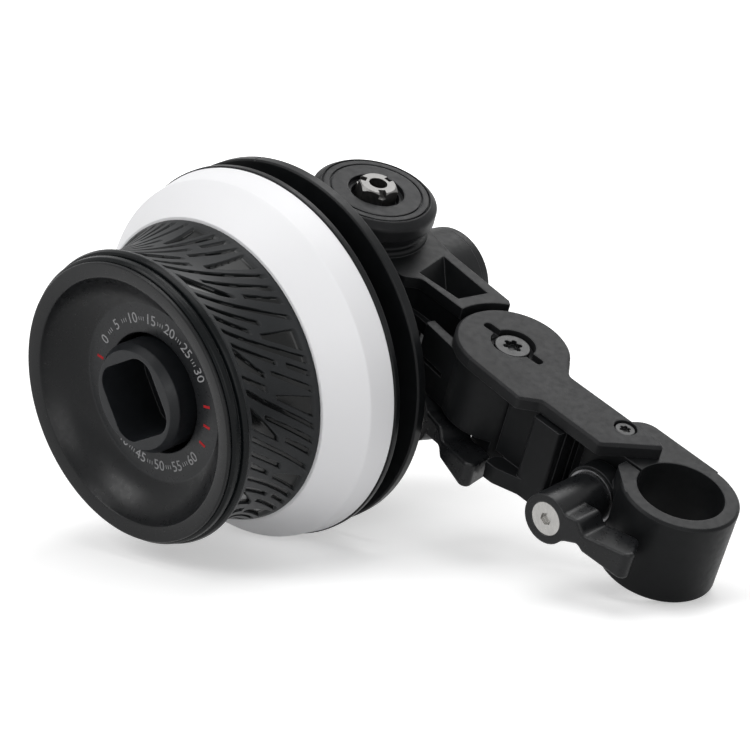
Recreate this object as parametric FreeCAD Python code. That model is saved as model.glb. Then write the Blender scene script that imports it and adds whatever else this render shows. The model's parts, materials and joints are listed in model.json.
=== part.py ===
"""Follow focus unit: handwheel, right-angle gearbox, swing bracket and 15 mm rod clamp.

Working axes, in millimetres: Z runs up along the rod bore, Y runs back along the
handwheel's axis, and X runs from the gearbox to the rod clamp.  The working origin is
where the bore's axis meets the clamp's top face.  Every piece is built there, and
main() then lays the whole unit down on the three edges that it rests on, with +Z up
from the table and the origin under the middle of its box.
"""
import FreeCAD, Part
import math
import os

from FreeCAD import Base, Placement, Rotation, Vector

X_AXIS = Vector(1, 0, 0)
Y_AXIS = Vector(0, 1, 0)
Z_AXIS = Vector(0, 0, 1)

# Fits
RUNNING = 0.04           # radial clearance of a shaft that turns in its bore
SLIP = 0.02              # radial clearance of pieces that are fastened together
BODY_GAP = 0.3           # clearance between pieces that move past each other

# Rod clamp
ROD_R = 7.5
BORE_R = ROD_R + 0.05
CLAMP_R = 10.2
CLAMP_DEPTH = 15.7
CLAMP_CHAMFER = 0.4
SLIT_Y = -1.75
SLIT_WIDTH = 0.7
STUD_X = -12.8
STUD_Z = -CLAMP_DEPTH / 2
JAW_EAR_R = 5.3
JAW_FRONT_Y = -5.3

# Arm and cover plate
PIVOT_X = -41.5
PIVOT_Y = 2.8
PLATE_T = 2.4
PLATE_R = 10.2
PLATE_CHAMFER = 0.45
ARM_BOTTOM = -16.3
FLANGE_TOP = -13.1
ARM_FAR_Y = CLAMP_R
PAD_FRONT_Y = -6.5
POST_R = 3.2
BUSH_R = 4.2
POST_FOOT_R = 4.8
POST_FOOT_T = 1.2
PLATE_SCREW_X = -14.9
PLATE_SCREW_Y = 2.1

# Swing knuckle and bracket
KNUCKLE_R = 9.5
KNUCKLE_TOP = -0.2
KNUCKLE_BOTTOM = -17.4
RAIL_TOP = 2.6
RAIL_T = 2.2
RAIL_ARC_R = 11.6
SWEEP_R = 12.0
LOWER_RAIL_TOP = -4.0
LOWER_RAIL_BOTTOM = -6.4
COUNTERBORE_TOP = -11.1
EAR_R = 4.7
EAR_FRONT = 6.7
EAR_BACK = 18.4
SPLIT_WIDTH = 0.8
SPLIT_TOP = -7.2
SPLIT_RELIEF = 0.8

# Gearbox
WHEEL_X = -80.5
WHEEL_Z = -18.0
DRUM_Y = 6.1
DRUM_R = 10.9
CAP_R = 11.4
CAP_TOP = 9.7
CAP_BOTTOM = 5.9
NECK_R = 9.9
SHOULDER_Z = 3.6
BASE_R = 11.4
BASE_TOP = -46.4
BASE_BOTTOM = -53.7
BASE_CHAMFER = 0.5
FRONT_BOSS_R = 12.0
FRONT_BOSS_Y = -8.9
REAR_CASE_Y = 19.0
REAR_BOSS_R = 10.4
REAR_END_R = 9.1
REAR_END_Y = 36.5
REAR_BORE_R = 6.0

# Bevel gears, a mitre pair whose cones meet where the two shafts' axes cross
TEETH = 20
MODULE = 0.6
FACE_WIDTH = 2.4
BACKLASH = 0.24
PRESSURE_ANGLE = 20.0
CAVITY_R = 7.4
GEAR_HUB = 1.0
GEAR_BACK = 8.35
DOG_THREAD_R = 1.65

# Shafts and bearings
WHEEL_SHAFT_R = 4.0
OUTPUT_SHAFT_R = 3.0
GEAR_SEAT_R = 2.5
WHEEL_BEARING_R = 8.0
OUTPUT_BEARING_R = 7.0
BEARING_WIDTH = 3.0

# Index plate
INDEX_R = 33.8
INDEX_FRONT_Y = -11.0
INDEX_T = 2.1
INDEX_BORE_R = 6.5
INDEX_SCREWS = 3
INDEX_SCREW_PITCH_R = 10.0

# Handwheel, along Y
LIP_Y = -48.1
LIP_R = 25.3
BOWL_R = 22.1
RING_Y = -41.6
DISH_REAR_Y = -38.6
RING_R = 16.0
RING_BORE_R = 10.8
HUB_R = 9.9
HUB_FACE_R = 8.9
HUB_FACE_Y = -46.0
SOCKET_CORNER_R = 8.2
SOCKET_FLOOR_Y = -36.0
HUB_REAR_Y = -34.0
CORE_WEB_T = 3.2
RIM_R = 26.3
RIM_REAR_Y = -44.3
GRIP_BORE_R = 23.4
GRIP_REAR_Y = -28.3
GRIP_WAIST_R = 25.1
GRIP_REAR_R = 27.5
DISC_EDGE_R = 32.8
DISC_EDGE_Y = -21.8
DISC_R = 33.7
DISC_REAR_Y = -16.9
BACKING_R = 33.95
BACKING_T = 1.2
BACKING_CHAMFER = 0.15

# Clamp and lock levers
LEVER_BARREL_R = 4.4
LEVER_SCREW_R = 2.95
LEVER_SCREW_T = 1.1
CLAMP_LEVER_FRONT_Y = -17.3
PADDLE_T = 6.1
LEVER_REACH = 18.0
TIP_SLANT = 3.4
LEVER_EDGE = 0.5
LOCK_FRONT = Vector(-51.4, -5.3, -16.9)
LOCK_YAW = -22.0
LOCK_BARREL = 6.6
LOCK_NECK = 2.2          # how much longer the lock lever's neck is than the clamp lever's
STUD_R = 2.0

# Washers and fasteners
WASHER_T = 0.5
TORX_LARGE_R = 1.75
TORX_SMALL_R = 1.0


# ---------------------------------------------------------------- shape helpers

def corner_arc(before, corner, after, radius):
    """Return the start, middle and end of the arc that rounds a corner."""
    to_before = (before - corner).normalize()
    to_after = (after - corner).normalize()
    half = to_before.getAngle(to_after) / 2
    bisector = (to_before + to_after).normalize()
    centre = corner + bisector * (radius / math.sin(half))
    setback = radius / math.tan(half)
    return corner + to_before * setback, centre - bisector * radius, corner + to_after * setback


def rounded_wire(corners, plane="XY"):
    """Close a wire through (u, v) or (u, v, radius) corners in the named plane."""
    lift = {"XY": lambda u, v: Vector(u, v, 0), "XZ": lambda u, v: Vector(u, 0, v)}[plane]
    points = [lift(c[0], c[1]) for c in corners]
    radii = [c[2] if len(c) > 2 else 0 for c in corners]
    stations = []
    for i, point in enumerate(points):
        if radii[i]:
            stations.append(corner_arc(points[i - 1], point, points[(i + 1) % len(points)], radii[i]))
        else:
            stations.append((point,))
    edges = []
    for i, station in enumerate(stations):
        if len(station) == 3:
            edges.append(Part.Arc(*station).toShape())
        end, start = station[-1], stations[(i + 1) % len(stations)][0]
        if end.distanceToPoint(start) > 1e-6:
            edges.append(Part.LineSegment(end, start).toShape())
    return Part.Wire(edges)


def slab(corners, low, high):
    """Extrude an outline in the XY plane from one height to another."""
    face = Part.Face(rounded_wire(corners))
    face.translate(Vector(0, 0, low))
    return face.extrude(Vector(0, 0, high - low))


def slab_y(corners, front, back):
    """Extrude an outline of (x, z) corners along Y."""
    face = Part.Face(rounded_wire(corners, "XZ"))
    face.translate(Vector(0, front, 0))
    return face.extrude(Vector(0, back - front, 0))


def turned(section):
    """Turn a section of (radius, height) corners once round the Z axis."""
    return Part.Face(rounded_wire(section, "XZ")).revolve(Vector(), Z_AXIS, 360)


def on_wheel_axis(shape):
    """Place a piece turned about Z on the handwheel's axis, its height along Y."""
    shape.Placement = Placement(Vector(WHEEL_X, 0, WHEEL_Z), Rotation(X_AXIS, -90)) * shape.Placement
    return shape


def on_drum_axis(shape):
    """Place a piece turned about Z on the output shaft's axis."""
    shape.translate(Vector(WHEEL_X, DRUM_Y, 0))
    return shape


def rod(radius, low, high, x=0.0, y=0.0):
    """Make an upright cylinder from one height to another."""
    return Part.makeCylinder(radius, high - low, Vector(x, y, low))


def rod_y(radius, front, back, x=WHEEL_X, z=WHEEL_Z):
    """Make a cylinder along Y from its front to its back."""
    return Part.makeCylinder(radius, back - front, Vector(x, front, z), Y_AXIS)


def block(x, y, z):
    """Make a box from three (low, high) pairs."""
    return Part.makeBox(x[1] - x[0], y[1] - y[0], z[1] - z[0], Vector(x[0], y[0], z[0]))


def edges_at_height(shape, height):
    """List the edges of a shape that lie at one height."""
    return [e for e in shape.Edges if abs(e.BoundBox.ZMin - height) < 1e-4
            and abs(e.BoundBox.ZMax - height) < 1e-4]


def star_socket(radius, depth, x, y, top):
    """Make a six-lobed screwdriver socket below a height."""
    lobes = rod(radius * 0.72, top - depth, top, x, y)
    for i in range(6):
        turn = math.radians(60 * i)
        lobe = rod(radius * 0.27, top - depth, top,
                   x + 0.73 * radius * math.cos(turn), y + 0.73 * radius * math.sin(turn))
        lobes = lobes.fuse(lobe)
    return lobes


def hex_prism(across_flats, low, high):
    """Make a hexagonal prism about Z."""
    corner = across_flats / math.sqrt(3)
    return slab([(corner * math.cos(math.radians(60 * i + 30)),
                  corner * math.sin(math.radians(60 * i + 30))) for i in range(6)], low, high)


# ---------------------------------------------------------------- arm and clamp

def arm_beam():
    """Make the wall between clamp and pivot, with its raised pad and its foot flange."""
    beam = block((-34.0, -12.0), (-4.6, 4.4), (ARM_BOTTOM + 1, 0))
    pad = slab([(-27.5, PAD_FRONT_Y, 0.5), (-21.5, PAD_FRONT_Y, 0.5), (-21.5, 0), (-27.5, 0)],
               ARM_BOTTOM, -0.4)
    recess = block((-21.4, -19.2), (-10.0, 0.2), (FLANGE_TOP, 1.0))
    foot = slab([(-40.0, -8.2), (-30.6, -8.2, 2.0), (-26.0, PAD_FRONT_Y, 2.0),
                 (-19.2, PAD_FRONT_Y, 2.0), (-14.0, -1.4), (-14.0, 8.0), (-40.0, 8.0)],
                ARM_BOTTOM, FLANGE_TOP)
    return beam.fuse([pad, foot]).cut(recess)


def clamp_block():
    """Make the solid side of the clamp, whose far wall runs straight into the bore's ring."""
    body = slab([(-19.2, SLIT_Y + SLIT_WIDTH / 2, 0.8), (0, SLIT_Y + SLIT_WIDTH / 2),
                 (0, ARM_FAR_Y), (-15.6, ARM_FAR_Y, 3.6), (-19.2, 4.4)], -CLAMP_DEPTH, 0)
    ring = turned([(0, -CLAMP_DEPTH), (CLAMP_R - CLAMP_CHAMFER, -CLAMP_DEPTH),
                   (CLAMP_R, CLAMP_CHAMFER - CLAMP_DEPTH), (CLAMP_R, -CLAMP_CHAMFER),
                   (CLAMP_R - CLAMP_CHAMFER, 0), (0, 0)])
    ear = rod_y(JAW_EAR_R, JAW_FRONT_Y, SLIT_Y, STUD_X, STUD_Z)
    lip = slab([(-10.4, -4.3, 1.0), (-8.0, -6.3, 2.5), (-5.0, -8.85), (-3.0, -3.0), (-10.4, -2.0)],
               -CLAMP_DEPTH, 0)
    return body.fuse([ring, ear, lip])


def slit_cut():
    """Make the saw cut that lets the front jaw close on the rod."""
    return block((-22.0, 0), (SLIT_Y - SLIT_WIDTH / 2, SLIT_Y + SLIT_WIDTH / 2), (-20.0, 2.0))


def make_clamp_arm():
    """Make the arm: split rod clamp, beam, foot flange and the room its knuckle swings in."""
    arm = arm_beam().fuse(clamp_block())
    knuckle_room = rod(KNUCKLE_R + BODY_GAP, FLANGE_TOP + 0.1, 3.0, PIVOT_X, PIVOT_Y)
    sweep_room = rod(SWEEP_R, ARM_BOTTOM - 1, FLANGE_TOP + 0.2, PIVOT_X, PIVOT_Y)
    arm = arm.cut([knuckle_room, sweep_room, lock_lever_room()])
    jaw_gap = block((-22.0, -7.0), (-9.0, SLIT_Y), (-20.0, 2.0)).cut(
        rod_y(JAW_EAR_R, JAW_FRONT_Y - 1, SLIT_Y + 1, STUD_X, STUD_Z))
    jaw_gap = jaw_gap.cut(block((-10.5, -7.0), (-9.0, SLIT_Y), (-20.0, 2.0)))
    behind = block((-22.0, -19.2), (-9.0, SLIT_Y), (-20.0, 2.0))
    cuts = [rod(BORE_R, -20.0, 2.0), slit_cut(), jaw_gap.cut(behind),
            rod_y(JAW_EAR_R, -20.0, JAW_FRONT_Y, STUD_X, STUD_Z),
            rod_y(STUD_R + RUNNING, -20.0, 7.6, STUD_X, STUD_Z),
            rod(1.0 + SLIP, -6.0, 1.0, PLATE_SCREW_X, PLATE_SCREW_Y)]
    return arm.cut(cuts).removeSplitter()


def plate_outline():
    """List the cover plate's outline: round end over the pivot, bar, and slanted end."""
    wide_front = PIVOT_Y - PLATE_R - 0.9
    return [(-30.3, wide_front, 0.8), (-27.5, -5.4, 1.2), (-14.2, -5.5, 1.0), (-7.6, 3.9, 0.8),
            (-9.0, 4.8, 0.6), (-30.2, 4.9, 2.5), (PIVOT_X + 8.6, PIVOT_Y + 5.6),
            (PIVOT_X, PIVOT_Y), (PIVOT_X - 1.0, wide_front + 0.9)]


def make_cover_plate():
    """Make the chamfered plate that holds the knuckle down and hides the beam."""
    plate = slab(plate_outline(), 0, PLATE_T).fuse(rod(PLATE_R, 0, PLATE_T, PIVOT_X, PIVOT_Y))
    plate = plate.removeSplitter()
    plate = plate.makeChamfer(PLATE_CHAMFER, edges_at_height(plate, PLATE_T))
    slope = Part.Face(Part.makePolygon([Vector(-60, -2.9, PLATE_T), Vector(-60, -12, PLATE_T - 0.22),
                                        Vector(-60, -12, PLATE_T + 1), Vector(-60, -2.9, PLATE_T)]))
    recess = rod(4.0, PLATE_T - 1.6, PLATE_T + 1, PIVOT_X, PIVOT_Y)
    notch = slab([(PIVOT_X - 6.7, PIVOT_Y - 0.9, 0.8), (PIVOT_X + 6.7, PIVOT_Y - 0.9, 0.8),
                  (PIVOT_X + 6.7, PIVOT_Y + 0.9, 0.8), (PIVOT_X - 6.7, PIVOT_Y + 0.9, 0.8)],
                 PLATE_T - 1.3, PLATE_T + 1)
    small = rod(2.05, PLATE_T - 1.0, PLATE_T + 1, PLATE_SCREW_X, PLATE_SCREW_Y)
    holes = [rod(1.7 + SLIP, -1, 3, PIVOT_X, PIVOT_Y), rod(1.0 + SLIP, -1, 3, PLATE_SCREW_X, PLATE_SCREW_Y)]
    return plate.cut([slope.extrude(Vector(60, 0, 0)), recess, notch, small] + holes)


def torx_screw(head_r, head_t, shank_r, length, socket_r, x, y, seat):
    """Make a low-head screw whose head rests at a height and whose shank runs down."""
    head = rod(head_r, seat, seat + head_t, x, y)
    head = head.makeFillet(0.2, edges_at_height(head, seat + head_t))
    shank = rod(shank_r, seat - length, seat, x, y)
    return head.fuse(shank).cut(star_socket(socket_r, head_t * 0.8, x, y, seat + head_t))


def make_pivot_screw():
    """Make the screw that holds the cover plate to the pivot's post."""
    return torx_screw(3.2, 1.1, 1.7, 8.5, TORX_LARGE_R, PIVOT_X, PIVOT_Y, PLATE_T - 1.6)


def make_cover_screw():
    """Make the small screw at the cover plate's slanted end."""
    return torx_screw(1.8, 0.7, 1.0, 5.5, TORX_SMALL_R, PLATE_SCREW_X, PLATE_SCREW_Y, PLATE_T - 1.0)


def make_pivot_post():
    """Make the flanged post that hangs from the cover plate and carries the knuckle."""
    foot_top = COUNTERBORE_TOP - WASHER_T - 0.04
    post = rod(POST_R, foot_top, 0, PIVOT_X, PIVOT_Y).fuse(
        rod(POST_FOOT_R, foot_top - POST_FOOT_T, foot_top, PIVOT_X, PIVOT_Y))
    return post.cut(rod(1.7 + SLIP, -9.0, 1.0, PIVOT_X, PIVOT_Y))


def make_pivot_bush():
    """Make the plain bearing sleeve on the post, on which the knuckle swings."""
    return rod(BUSH_R, COUNTERBORE_TOP, -0.02, PIVOT_X, PIVOT_Y).cut(
        rod(POST_R + SLIP, -20, 1, PIVOT_X, PIVOT_Y))


def make_thrust_washer():
    """Make the washer between the knuckle's counterbore and the post's foot."""
    return rod(POST_FOOT_R, COUNTERBORE_TOP - 0.02 - WASHER_T, COUNTERBORE_TOP - 0.02,
               PIVOT_X, PIVOT_Y).cut(rod(POST_R + SLIP, -20, 1, PIVOT_X, PIVOT_Y))


# ---------------------------------------------------------------- levers

def lever_outline(neck, waist):
    """List a lever's side outline beyond its barrel: waisted neck, then flaring paddle."""
    reach = LEVER_REACH + neck
    return [(0.4, 3.6), (3.4, 3.2, 2.0), (5.9 + neck, 3.7, 1.2), (7.6 + neck, 1.9, 1.2),
            (reach - 1.0, 4.2, 1.0), (reach, 2.9, 1.0), (reach, 0.1, 0.9), (reach - 0.9, -0.9, 0.8),
            (8.3 + neck, -1.1, 0.8), (7.0 + neck, waist, 1.0), (4.6, waist - 1.2, 1.2), (2.2, -3.4)]


def lever_body(front, back, neck=0.0, waist=-0.4):
    """Make a lever about the Y axis: a barrel with a rounded paddle, slanted at its tip."""
    barrel = rod_y(LEVER_BARREL_R, front, back, 0, 0)
    rear = front + PADDLE_T
    reach = LEVER_REACH + neck
    plan = slab([(-1.0, front), (reach, front, 1.3), (reach - TIP_SLANT, rear, 1.6), (-1.0, rear)],
                -12, 12)
    paddle = slab_y(lever_outline(neck, waist), front, rear).common(plan)
    rims = [e for e in paddle.Edges if e.BoundBox.YLength < 1e-4]
    paddle = paddle.makeFillet(LEVER_EDGE, rims)
    pocket = rod_y(LEVER_SCREW_R + 0.05, front - 1, front + LEVER_SCREW_T, 0, 0)
    bore = rod_y(STUD_R + SLIP, front, back + 1, 0, 0)
    return barrel.fuse(paddle).cut([pocket, bore]).removeSplitter()


def lever_screw(front):
    """Make the flush hex-socket screw in a lever's face."""
    head = rod_y(LEVER_SCREW_R, front + 0.1, front + LEVER_SCREW_T, 0, 0)
    socket = hex_prism(2.0, 0, 0.8)
    socket.Placement = Placement(Vector(0, front + 0.1, 0), Rotation(X_AXIS, -90))
    return head.cut(socket)


def lever_stud(front, back):
    """Make the threaded stud that a lever turns."""
    return rod_y(STUD_R, front + LEVER_SCREW_T + 0.02, back, 0, 0)


def at_clamp_stud(shape):
    """Carry a lever piece to the clamp stud's place."""
    shape.translate(Vector(STUD_X, 0, STUD_Z))
    return shape


def at_lock_stud(shape):
    """Carry a lever piece to the lock stud's place, across the knuckle."""
    shape.rotate(Vector(), Z_AXIS, LOCK_YAW)
    shape.translate(LOCK_FRONT)
    return shape


def lock_lever_room():
    """Make the room that the lock lever's slanted paddle turns in, from its rest downwards."""
    front_r = LEVER_REACH + LOCK_NECK + BODY_GAP
    rear_r = front_r - TIP_SLANT + 0.6
    room = rod_y(front_r, -1.0, 0, 0, 0).fuse([
        Part.makeCone(front_r, rear_r, PADDLE_T, Vector(), Y_AXIS),
        rod_y(rear_r, PADDLE_T, EAR_FRONT, 0, 0)])
    return at_lock_stud(room.common(
        block((-30.0, 30.0), (-5.0, 12.0), (-30.0, LEVER_BARREL_R + BODY_GAP))))


def make_clamp_lever():
    """Make the long lever that closes the rod clamp."""
    return at_clamp_stud(lever_body(CLAMP_LEVER_FRONT_Y, JAW_FRONT_Y - WASHER_T - 0.05))


def make_clamp_lever_screw():
    """Make the screw in the clamp lever's face."""
    return at_clamp_stud(lever_screw(CLAMP_LEVER_FRONT_Y))


def make_clamp_stud():
    """Make the clamp lever's stud, from the lever into the arm."""
    return at_clamp_stud(lever_stud(CLAMP_LEVER_FRONT_Y, 7.2))


def make_clamp_washer():
    """Make the washer between the clamp lever and the front jaw's ear."""
    return rod_y(JAW_EAR_R - 0.5, JAW_FRONT_Y - WASHER_T, JAW_FRONT_Y, STUD_X, STUD_Z).cut(
        rod_y(STUD_R + RUNNING, -20, 10, STUD_X, STUD_Z))


def make_lock_lever():
    """Make the lever that locks the swing knuckle."""
    return at_lock_stud(lever_body(0, LOCK_BARREL, LOCK_NECK, 0.5))


def make_lock_lever_screw():
    """Make the screw in the lock lever's face."""
    return at_lock_stud(lever_screw(0))


def make_lock_stud():
    """Make the lock lever's stud, across the knuckle's two ears."""
    return at_lock_stud(lever_stud(0, EAR_BACK - 1.1))


# ---------------------------------------------------------------- gearbox

def top_rail():
    """Make the I-section's top rail: flared at the drum, its end curved round the cover plate."""
    rail = slab([(WHEEL_X + 4.0, DRUM_Y - DRUM_R + 1.0), (-70.5, -0.5, 3.0), (-65.4, -0.35, 1.2),
                 (-63.2, 2.25, 1.8), (-47.0, 1.9), (-47.0, 9.0), (-50.7, 11.8), (-66.0, 13.2, 12.0),
                 (WHEEL_X + 4.0, DRUM_Y + DRUM_R - 1.0)], RAIL_TOP - RAIL_T, RAIL_TOP)
    return rail.cut(rod(RAIL_ARC_R, -1, 5, PIVOT_X, PIVOT_Y))


def bracket():
    """Make the I-section bracket: two rails, web, swing knuckle and the cheek before it."""
    web = slab([(WHEEL_X + 4.0, DRUM_Y - DRUM_R + 1.0), (-67.0, 0.6), (-63.2, 2.4, 2.0), (-47.5, 2.4),
                (-47.5, 9.3), (-66.0, 12.0, 8.0), (WHEEL_X + 4.0, DRUM_Y + DRUM_R - 1.0)],
               LOWER_RAIL_BOTTOM, RAIL_TOP - RAIL_T)
    web = web.cut(rod(RAIL_ARC_R, KNUCKLE_TOP, 5, PIVOT_X, PIVOT_Y))
    lower_rail = slab([(WHEEL_X + 4.0, -2.6), (-62.0, 1.6, 8.0), (-51.6, -0.4, 6.0), (PIVOT_X, -5.6),
                       (PIVOT_X, PIVOT_Y + 8.2), (-51.6, 11.4, 6.0), (WHEEL_X + 4.0, 14.6)],
                      LOWER_RAIL_BOTTOM, LOWER_RAIL_TOP)
    knuckle = rod(KNUCKLE_R, KNUCKLE_BOTTOM, KNUCKLE_TOP, PIVOT_X, PIVOT_Y)
    cheek = slab([(-55.9, -3.5, 0.5), (-46.5, -5.1), (-46.5, -3.1), (-55.5, -1.7)],
                 LOCK_FRONT.z + EAR_R, KNUCKLE_TOP)
    return top_rail().fuse([web, lower_rail, knuckle, cheek]).cut(lock_lever_room()).fuse(lock_ears())


def lock_ears():
    """Make the pair of ears under the knuckle that the lock lever's stud draws together."""
    ears = rod_y(EAR_R, EAR_FRONT, EAR_BACK, 0, 0)
    stem = block((-EAR_R, EAR_R), (EAR_FRONT, EAR_BACK), (0, LOWER_RAIL_BOTTOM - LOCK_FRONT.z))
    return at_lock_stud(ears.fuse(stem))


def rail_pocket():
    """Make the deep pocket between the rails, wide and sloped at its drum end."""
    mouth = [(-64.8, 3.2), (-55.6, 3.7), (-54.2, 10.0), (-66.3, 11.3)]
    floor = [(-61.2, 4.0), (-56.0, 4.6), (-55.0, 8.6), (-61.2, 8.8)]
    wires = [Part.makePolygon([Vector(x, y, z) for x, y in corners + corners[:1]])
             for corners, z in ((mouth, RAIL_TOP + 0.01), (floor, LOWER_RAIL_TOP + 0.6))]
    return Part.makeLoft(wires, True, True)


def case_shell():
    """Make the drum, the handwheel's boss and the tapered rear boss as one casting."""
    drum = on_drum_axis(turned([(0, BASE_TOP), (DRUM_R, BASE_TOP, 0.5), (DRUM_R, SHOULDER_Z, 0.6),
                                (NECK_R, SHOULDER_Z, 0.4), (NECK_R, CAP_BOTTOM), (0, CAP_BOTTOM)]))
    boss = on_wheel_axis(turned([(0, FRONT_BOSS_Y), (FRONT_BOSS_R, FRONT_BOSS_Y),
                                 (FRONT_BOSS_R, REAR_CASE_Y - 3.0, 2.0), (REAR_BOSS_R, REAR_CASE_Y),
                                 (REAR_BOSS_R, 26.0, 4.0), (REAR_END_R + 0.3, REAR_END_Y - 2.2),
                                 (0, REAR_END_Y - 2.2)]))
    return drum.fuse(boss)


def case_hollows():
    """List the cavity, the bearing seats and the holes inside the gearbox."""
    seat_end = FRONT_BOSS_Y + 2 * BEARING_WIDTH + 0.4
    return [
        rod_y(CAVITY_R, seat_end - 0.1, DRUM_Y + CAVITY_R),
        rod(CAVITY_R, WHEEL_Z - CAVITY_R, WHEEL_Z + CAVITY_R + 2.0, WHEEL_X, DRUM_Y),
        rod_y(WHEEL_BEARING_R + SLIP, FRONT_BOSS_Y - 1, seat_end),
        rod_y(REAR_BORE_R, REAR_END_Y - 14.0, REAR_END_Y),
        rod(OUTPUT_SHAFT_R + 1.0, BASE_TOP - 1, CAP_BOTTOM + 1, WHEEL_X, DRUM_Y),
        rod(OUTPUT_BEARING_R + SLIP, CAP_BOTTOM - BEARING_WIDTH - 0.4, CAP_BOTTOM + 1, WHEEL_X, DRUM_Y),
        rod(OUTPUT_BEARING_R + SLIP, BASE_TOP - 1, BASE_TOP + BEARING_WIDTH + 0.4, WHEEL_X, DRUM_Y),
    ]


def knuckle_hollows():
    """List the bush's bore, the counterbore, the split and the stud's hole in the knuckle."""
    split = block((-30.0, 0), (-SPLIT_WIDTH / 2, SPLIT_WIDTH / 2), (-25.0, SPLIT_TOP))
    relief = block((-30.0, -BUSH_R), (-12.0, 12.0), (SPLIT_TOP, SPLIT_TOP + SPLIT_RELIEF))
    for cut in (split, relief):
        cut.rotate(Vector(), Z_AXIS, LOCK_YAW)
        cut.translate(Vector(PIVOT_X, PIVOT_Y, 0))
    return [rod(BUSH_R + RUNNING, -20, 1, PIVOT_X, PIVOT_Y), split, relief,
            rod(POST_FOOT_R + BODY_GAP, -25.0, COUNTERBORE_TOP, PIVOT_X, PIVOT_Y),
            at_lock_stud(rod_y(STUD_R + RUNNING, 0, EAR_BACK - 0.9, 0, 0))]


def make_gear_case():
    """Make the gearbox casting with its bracket and its swing knuckle."""
    case = case_shell().fuse(bracket()).cut(rail_pocket())
    screw_holes = [index_screw_shank(i, 0.82) for i in range(INDEX_SCREWS)]
    return case.cut(case_hollows() + knuckle_hollows() + screw_holes).removeSplitter()


def make_top_cap():
    """Make the rounded cap ring on the drum, with two grooves and a stepped recess."""
    top = CAP_TOP
    return on_drum_axis(turned([
        (OUTPUT_SHAFT_R + 0.8, CAP_BOTTOM), (CAP_R, CAP_BOTTOM, 0.4), (CAP_R, top - 1.1, 0.9),
        (CAP_R - 1.3, top, 0.9), (9.9, top), (9.9, top - 0.35), (9.55, top - 0.35), (9.55, top),
        (8.5, top), (8.5, top - 0.35), (8.15, top - 0.35), (8.15, top),
        (5.1, top), (5.1, top - 1.0), (4.4, top - 1.0), (4.4, top - 2.6),
        (OUTPUT_SHAFT_R + 0.8, top - 2.6)]))


def make_base_cap():
    """Make the closed foot cap under the drum, which the unit rests on."""
    return on_drum_axis(turned([
        (0, BASE_BOTTOM), (BASE_R - BASE_CHAMFER, BASE_BOTTOM), (BASE_R, BASE_BOTTOM + BASE_CHAMFER),
        (BASE_R, BASE_TOP - 0.02, 0.6), (5.4, BASE_TOP - 0.02), (5.4, BASE_BOTTOM + 2.2),
        (0, BASE_BOTTOM + 2.2)]))


def make_rear_cap():
    """Make the plug that closes the rear boss, with a slot to turn it by."""
    end, spigot = REAR_END_Y, REAR_BORE_R - SLIP
    cap = turned([(0, end), (REAR_END_R, end, 0.8), (REAR_END_R + 0.3, end - 2.18),
                  (spigot, end - 2.18), (spigot, end - 4.2), (0, end - 4.2)])
    return on_wheel_axis(cap.cut(block((-5.0, 5.0), (-0.5, 0.5), (end - 0.7, end + 1))))


def bearing(outer_r, bore_r, low):
    """Make a bearing about Z: two rings joined by its shield."""
    race = (outer_r - bore_r) * 0.24
    high = low + BEARING_WIDTH
    return turned([(bore_r, low), (bore_r + race, low), (bore_r + race, low + 0.3),
                   (outer_r - race, low + 0.3), (outer_r - race, low), (outer_r, low),
                   (outer_r, high), (outer_r - race, high), (outer_r - race, high - 0.3),
                   (bore_r + race, high - 0.3), (bore_r + race, high), (bore_r, high)])


def make_wheel_bearings():
    """Make the pair of bearings that carry the handwheel's shaft."""
    first = bearing(WHEEL_BEARING_R, WHEEL_SHAFT_R + RUNNING, FRONT_BOSS_Y + 0.1)
    second = bearing(WHEEL_BEARING_R, WHEEL_SHAFT_R + RUNNING, FRONT_BOSS_Y + BEARING_WIDTH + 0.3)
    return Part.makeCompound([on_wheel_axis(first), on_wheel_axis(second)])


def make_output_bearings():
    """Make the two bearings that carry the output shaft, at the drum's top and foot."""
    bore = OUTPUT_SHAFT_R + RUNNING
    top = bearing(OUTPUT_BEARING_R, bore, CAP_BOTTOM - BEARING_WIDTH - 0.2)
    foot = bearing(OUTPUT_BEARING_R, bore, BASE_TOP + 0.2)
    return Part.makeCompound([on_drum_axis(top), on_drum_axis(foot)])


def index_screw_shank(number, radius):
    """Make one index plate screw's shank at its place round the boss."""
    turn = math.radians(90 + 120 * number)
    return rod_y(radius, INDEX_FRONT_Y + 0.9, FRONT_BOSS_Y + 3.8,
                 WHEEL_X + INDEX_SCREW_PITCH_R * math.cos(turn),
                 WHEEL_Z + INDEX_SCREW_PITCH_R * math.sin(turn))


def make_index_plate():
    """Make the fixed plate behind the marking disc, with a short index tick at its top."""
    rear = INDEX_FRONT_Y + INDEX_T
    plate = on_wheel_axis(turned([(INDEX_BORE_R, INDEX_FRONT_Y), (INDEX_R - 0.25, INDEX_FRONT_Y),
                                  (INDEX_R, INDEX_FRONT_Y + 0.25), (INDEX_R, rear - 0.25),
                                  (INDEX_R - 0.25, rear), (INDEX_BORE_R, rear)]))
    tick = block((WHEEL_X - 0.15, WHEEL_X + 0.15), (INDEX_FRONT_Y - 1, rear + 1),
                 (WHEEL_Z + INDEX_R - 0.25, WHEEL_Z + INDEX_R + 1))
    tick.rotate(Vector(WHEEL_X, 0, WHEEL_Z), Y_AXIS, -26)
    holes = [index_screw_shank(i, 0.82) for i in range(INDEX_SCREWS)]
    heads = [index_screw_head(i, 1.72) for i in range(INDEX_SCREWS)]
    return plate.cut([tick] + holes + heads)


def index_screw_head(number, radius):
    """Make one index plate screw's head, sunk in the plate's front."""
    turn = math.radians(90 + 120 * number)
    return rod_y(radius, INDEX_FRONT_Y, INDEX_FRONT_Y + 1.0,
                 WHEEL_X + INDEX_SCREW_PITCH_R * math.cos(turn),
                 WHEEL_Z + INDEX_SCREW_PITCH_R * math.sin(turn))


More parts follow.
